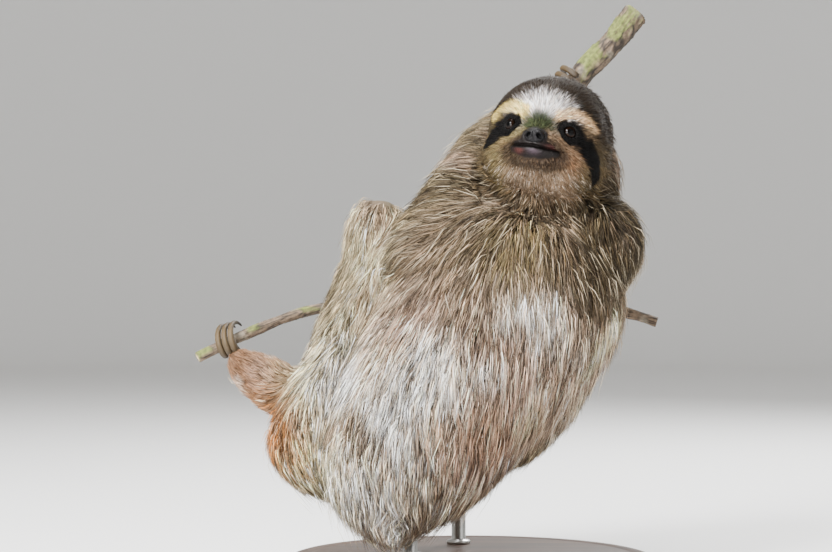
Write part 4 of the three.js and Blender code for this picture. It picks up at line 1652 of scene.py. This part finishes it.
class SLOTH_OT_coat(bpy.types.Operator):
    """The coat: locks of hair over the whole skin"""

    bl_idname = "sloth.coat"
    bl_label = "Coat"

    def execute(self, context):
        tree = reader(MADE["skin_piece"], ["place", "up", "lie"])
        fewer, wider = ((1.0, 1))
        own = settings().coat
        locks = plant(MADE["skin"], ROOT_SEED, own.fullness * fewer)
        locks["length"] *= own.length
        path, (up, side) = grow(tree, locks, PATH_SEED)
        rng = np.random.default_rng(WIDTH_SEED)
        width = locks["width"] * rng.uniform(0.65, 1.2, len(path)) * wider
        keep = self.clear_of_face(path)
        tones = lock_tones(locks, TONE_SEED) * np.array(own.tint)
        fur = fur_material("coat_fur", 0.62, 0.18)
        face_fur = fur_material("face_fur", 0.7, 0.12)
        main = locks["weights"].argmax(1)
        early = np.where(main == FLESH.index("head"), 0.8, 0.35)
        flat = np.clip(inset(locks["flat"][:, None]) + LOCK_PATCH[None], 0, 1)
        for name, parts in COAT_PIECES:
            here = np.flatnonzero(np.isin(main, [FLESH.index(p) for p in parts]) & keep)
            here = here[np.argsort(-path[here, 0, 2], kind="stable")]
            chunks = math.ceil(len(here) * len(LOCK_FACES) / MOST_TRIANGLES)
            slot, hair = ("face_fur", face_fur) if name == "head" else ("coat", fur)
            for number, some in enumerate(np.array_split(here, chunks)):
                points, faces = lock_solid(path[some], up[some], side[some], width[some],
                                           early[some])
                title = f"coat_{name}_{number + 1}" if chunks > 1 else f"coat_{name}"
                piece = make_mesh(title, points, faces, hair)
                put(piece.data, "tint", tones[some][:, LOCK_TONES].reshape(-1, 3))
                put_unwrap(piece.data, flat[some].reshape(-1, 2)[faces.ravel()])
                finished(piece)
        return {"FINISHED"}

    def clear_of_face(self, path):
        """Which locks stay off the eyeballs, the nose pad and the naked muzzle."""
        keep = np.ones(len(path), bool)
        for station in range(1, path.shape[1]):
            q = in_head(path[:, station])
            ahead = (q[:, 1] < FRONT) & (np.linalg.norm(q, axis=1) < 80)
            _, _, out, edge = eye_place(q)
            from_nose = np.linalg.norm((q - NOSE_AT) / (NOSE_HALF + [0.8, 3, 0.5]), axis=1)
            on_eye = (edge < 1.0) & (out > 0)
            keep &= ~(ahead & (on_eye | (from_nose < 1) | (bare_mask(q) > 0.75)))
        return keep


def through(stations, steps):
    """A smooth line through the stations, by centripetal Catmull-Rom curves, with the half
    thickness eased the same way."""
    given = np.array([(*at, size) for at, size in stations], float)
    given = np.concatenate([[2 * given[0] - given[1]], given, [2 * given[-1] - given[-2]]])
    out = []
    for i in range(len(stations) - 1):
        p = given[i:i + 4]
        gap = np.linalg.norm(np.diff(p[:, :3], axis=0), axis=1) ** 0.5
        knot = np.concatenate([[0], np.cumsum(gap)])
        t = np.linspace(knot[1], knot[2], steps, endpoint=i == len(stations) - 2)[:, None]
        a = [((knot[k + 1] - t) * p[k] + (t - knot[k]) * p[k + 1]) / (knot[k + 1] - knot[k])
             for k in range(3)]
        b = [((knot[k + 2] - t) * a[k] + (t - knot[k]) * a[k + 1]) / (knot[k + 2] - knot[k])
             for k in range(2)]
        out.append(((knot[2] - t) * b[0] + (t - knot[1]) * b[1]) / (knot[2] - knot[1]))
    out = np.concatenate(out)
    return out[:, :3] + SHIFT, out[:, 3]


def bark_rings(stations, steps, columns, seed, rough):
    """A branch: circles along its line, roughened by ridges that run along it, knots and a
    slow wander."""
    line, thick = through(stations, steps)
    way = unit(np.gradient(line, axis=0))
    side = unit(np.cross(way, [0.0, 1.0, 0.0]))
    up = np.cross(side, way)
    around = np.linspace(0, 2 * math.pi, columns, endpoint=False)
    out = np.cos(around)[:, None] * side[:, None] + np.sin(around)[:, None] * up[:, None]
    run = np.concatenate([[0], np.cumsum(np.linalg.norm(np.diff(line, axis=0), axis=1))])
    bark_at = np.stack(np.broadcast_arrays(np.cos(around) * 14, np.sin(around) * 14,
                                           run[:, None] * 0.28), -1).reshape(-1, 3)

    def over(values):
        # One value for each point of the rings, as rows and columns.
        return values.reshape(len(line), columns)

    ridge = np.abs(over(ripple(bark_at, 9, seed)))
    fine = over(ripple(bark_at * [1, 1, 2], 3.4, seed + 1))
    slow = over(ripple((line[:, None] + out * 8).reshape(-1, 3), 46, seed + 2))
    swell = 1 + rough * (0.07 * slow - 0.06 * ridge + 0.022 * fine)
    radius = thick[:, None] * np.minimum(swell, 1.04)
    radius[[0, -1]] *= 0.93
    return line[:, None] + out * radius[..., None], ridge


def bark_material():
    """Bark in its stored colour, flecked lighter and darker by the shared grain."""
    def build(nodes, links, shader):
        fleck = grain(nodes, links, shader, object_place(nodes), 260, 6, 0.8, 0.0012)
        fleck = spread(nodes, links, fleck, 0.3, 0.7, 0.45, 1.35)
        colour = times(nodes, links, stored_on(nodes, "tint"), fleck, 1.0)
        links.new(colour, shader.inputs["Base Color"])
    return material("perch_bark", build, 0.88)


class SLOTH_OT_perch(bpy.types.Operator):
    """The forked perch with its bark"""

    bl_idname = "sloth.perch"
    bl_label = "Perch"

    def execute(self, context):
        own = settings().perch
        bark = bark_material()
        for name, stations, steps, columns, rough in (
                ("stem", STEM, 34, 64, 1.0), ("twig_left", TWIG_LEFT, 44, 36, 0.9),
                ("twig_right", TWIG_RIGHT, 44, 36, 0.9)):
            rings, ridge = bark_rings(stations, steps, columns, 70 + len(name), rough)
            points, faces = tube(rings)
            ridge = np.append(ridge.ravel(), [0, 0])
            base = mix(np.array(own.bark), tone("#2c241d"), smooth(0.9, 0.1, ridge))
            base = mix(base, tone("#8d8474"), 0.45 * smooth(0.6, 1.6, ripple(points, 24, 77)))
            mossy = 0.9 if name == "stem" else -0.4
            moss = smooth(0.1, 1.0, ripple(points, 30, 78) + mossy)
            lit = normals_of(points, faces) @ unit(np.array([-0.6, -0.5, 0.6]))
            base = mix(base, np.array(own.moss), 0.8 * moss * smooth(0.0, 0.7, lit))
            base[-2:] = tone("#c9b48a")
            piece = make_mesh(f"bark_{name}", points, faces, bark)
            put(piece.data, "tint", base)
            finished(piece, [f"perch_{name}"])
        return {"FINISHED"}


class SLOTH_OT_stand(bpy.types.Operator):
    """The turned wooden base and the two steel rods"""

    bl_idname = "sloth.stand"
    bl_label = "Stand"

    def execute(self, context):
        own = settings().stand

        def wood(nodes, links, shader):
            place = stretched(nodes, links, object_place(nodes), (6, 60, 60))
            figure = grain(nodes, links, shader, place, 1.6, 8, 0.25, 0.0003)
            colour = ramp(nodes, links, figure, ((0.3, tone("#2b1c12")), (0.7, own.wood)))
            links.new(colour, shader.inputs["Base Color"])
        walnut = material("stand_walnut", wood, 0.42, coat=0.35, coat_roughness=0.25)
        # The base's outline from its foot up: a bevel, a fine groove, a quarter circle over the
        # edge and a groove in the top.
        radius, thick = BASE_RADIUS, BASE_HEIGHT
        edge = np.linspace(0, math.pi / 2, 9)
        profile = [(2, 0), (radius - 2, 0), (radius - 0.4, 0.5), (radius, 1.6), (radius, 5.0),
                   (radius - 0.8, 5.6), (radius - 0.8, 6.2), (radius - 0.2, 6.8)]
        profile += [(radius - 5 + 5 * math.cos(a), thick - 5 + 5 * math.sin(a)) for a in edge]
        profile += [(radius - 14, thick), (radius - 15, thick - 0.5), (radius - 16, thick),
                    (2, thick)]
        base = make_mesh("turned_base", *tube(turned(profile, 160)), walnut)
        finished(base, ["stand_base"])
        steel = plain_material("brushed_steel", own.steel, 0.32, metallic=1.0)
        for name, at, top in RODS:
            # A peg in the wood, a flange with a bevelled top, and the rod.
            profile = [(4, 8), (6, 9), (6, 16), (10, 16), (10, 18.5), (9.4, 19.2), (6.4, 19.6),
                       (6, 20.2), (6, top - 1), (5, top)]
            points, faces = tube(turned(profile, 48))
            points = points + np.array([*at, 0]) + SHIFT
            rod = make_mesh(f"steel_rod_{name}", points, faces, steel)
            finished(rod, [f"stand_rod_{name}"])
        return {"FINISHED"}


OPERATORS = (SLOTH_OT_stage, SLOTH_OT_skin, SLOTH_OT_eyes, SLOTH_OT_nose, SLOTH_OT_claws,
             SLOTH_OT_coat, SLOTH_OT_perch, SLOTH_OT_stand)


class SLOTH_PT_panel(bpy.types.Panel):
    """The pieces of the sloth and their settings"""

    bl_idname = "SLOTH_PT_panel"
    bl_label = "Sloth"
    bl_space_type = "VIEW_3D"
    bl_region_type = "UI"
    bl_category = "Sloth"

    def draw(self, context):
        for operator in OPERATORS:
            self.layout.operator(operator.bl_idname)
        for group in ("stage", "skin", "eye", "claw", "coat", "perch", "stand"):
            values = getattr(context.scene.sloth, group)
            for name in values.bl_rna.properties.keys():
                if name not in ("rna_type", "name"):
                    self.layout.prop(values, name)


CLASSES = (StageSettings, CoatSettings, SkinSettings, EyeSettings, ClawSettings, PerchSettings,
           StandSettings, SlothSettings, *OPERATORS, SLOTH_PT_panel)


def register():
    """Adds the classes and the scene's settings."""
    for made in CLASSES:
        bpy.utils.register_class(made)
    bpy.types.Scene.sloth = bpy.props.PointerProperty(type=SlothSettings)


def unregister():
    """Takes them away again, the last first."""
    del bpy.types.Scene.sloth
    for made in reversed(CLASSES):
        bpy.utils.unregister_class(made)


def main():
    """Makes every piece in order."""
    register()
    for operator in OPERATORS:
        getattr(bpy.ops.sloth, operator.bl_idname.split(".")[1])()
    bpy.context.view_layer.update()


if __name__ == "__main__":
    main()
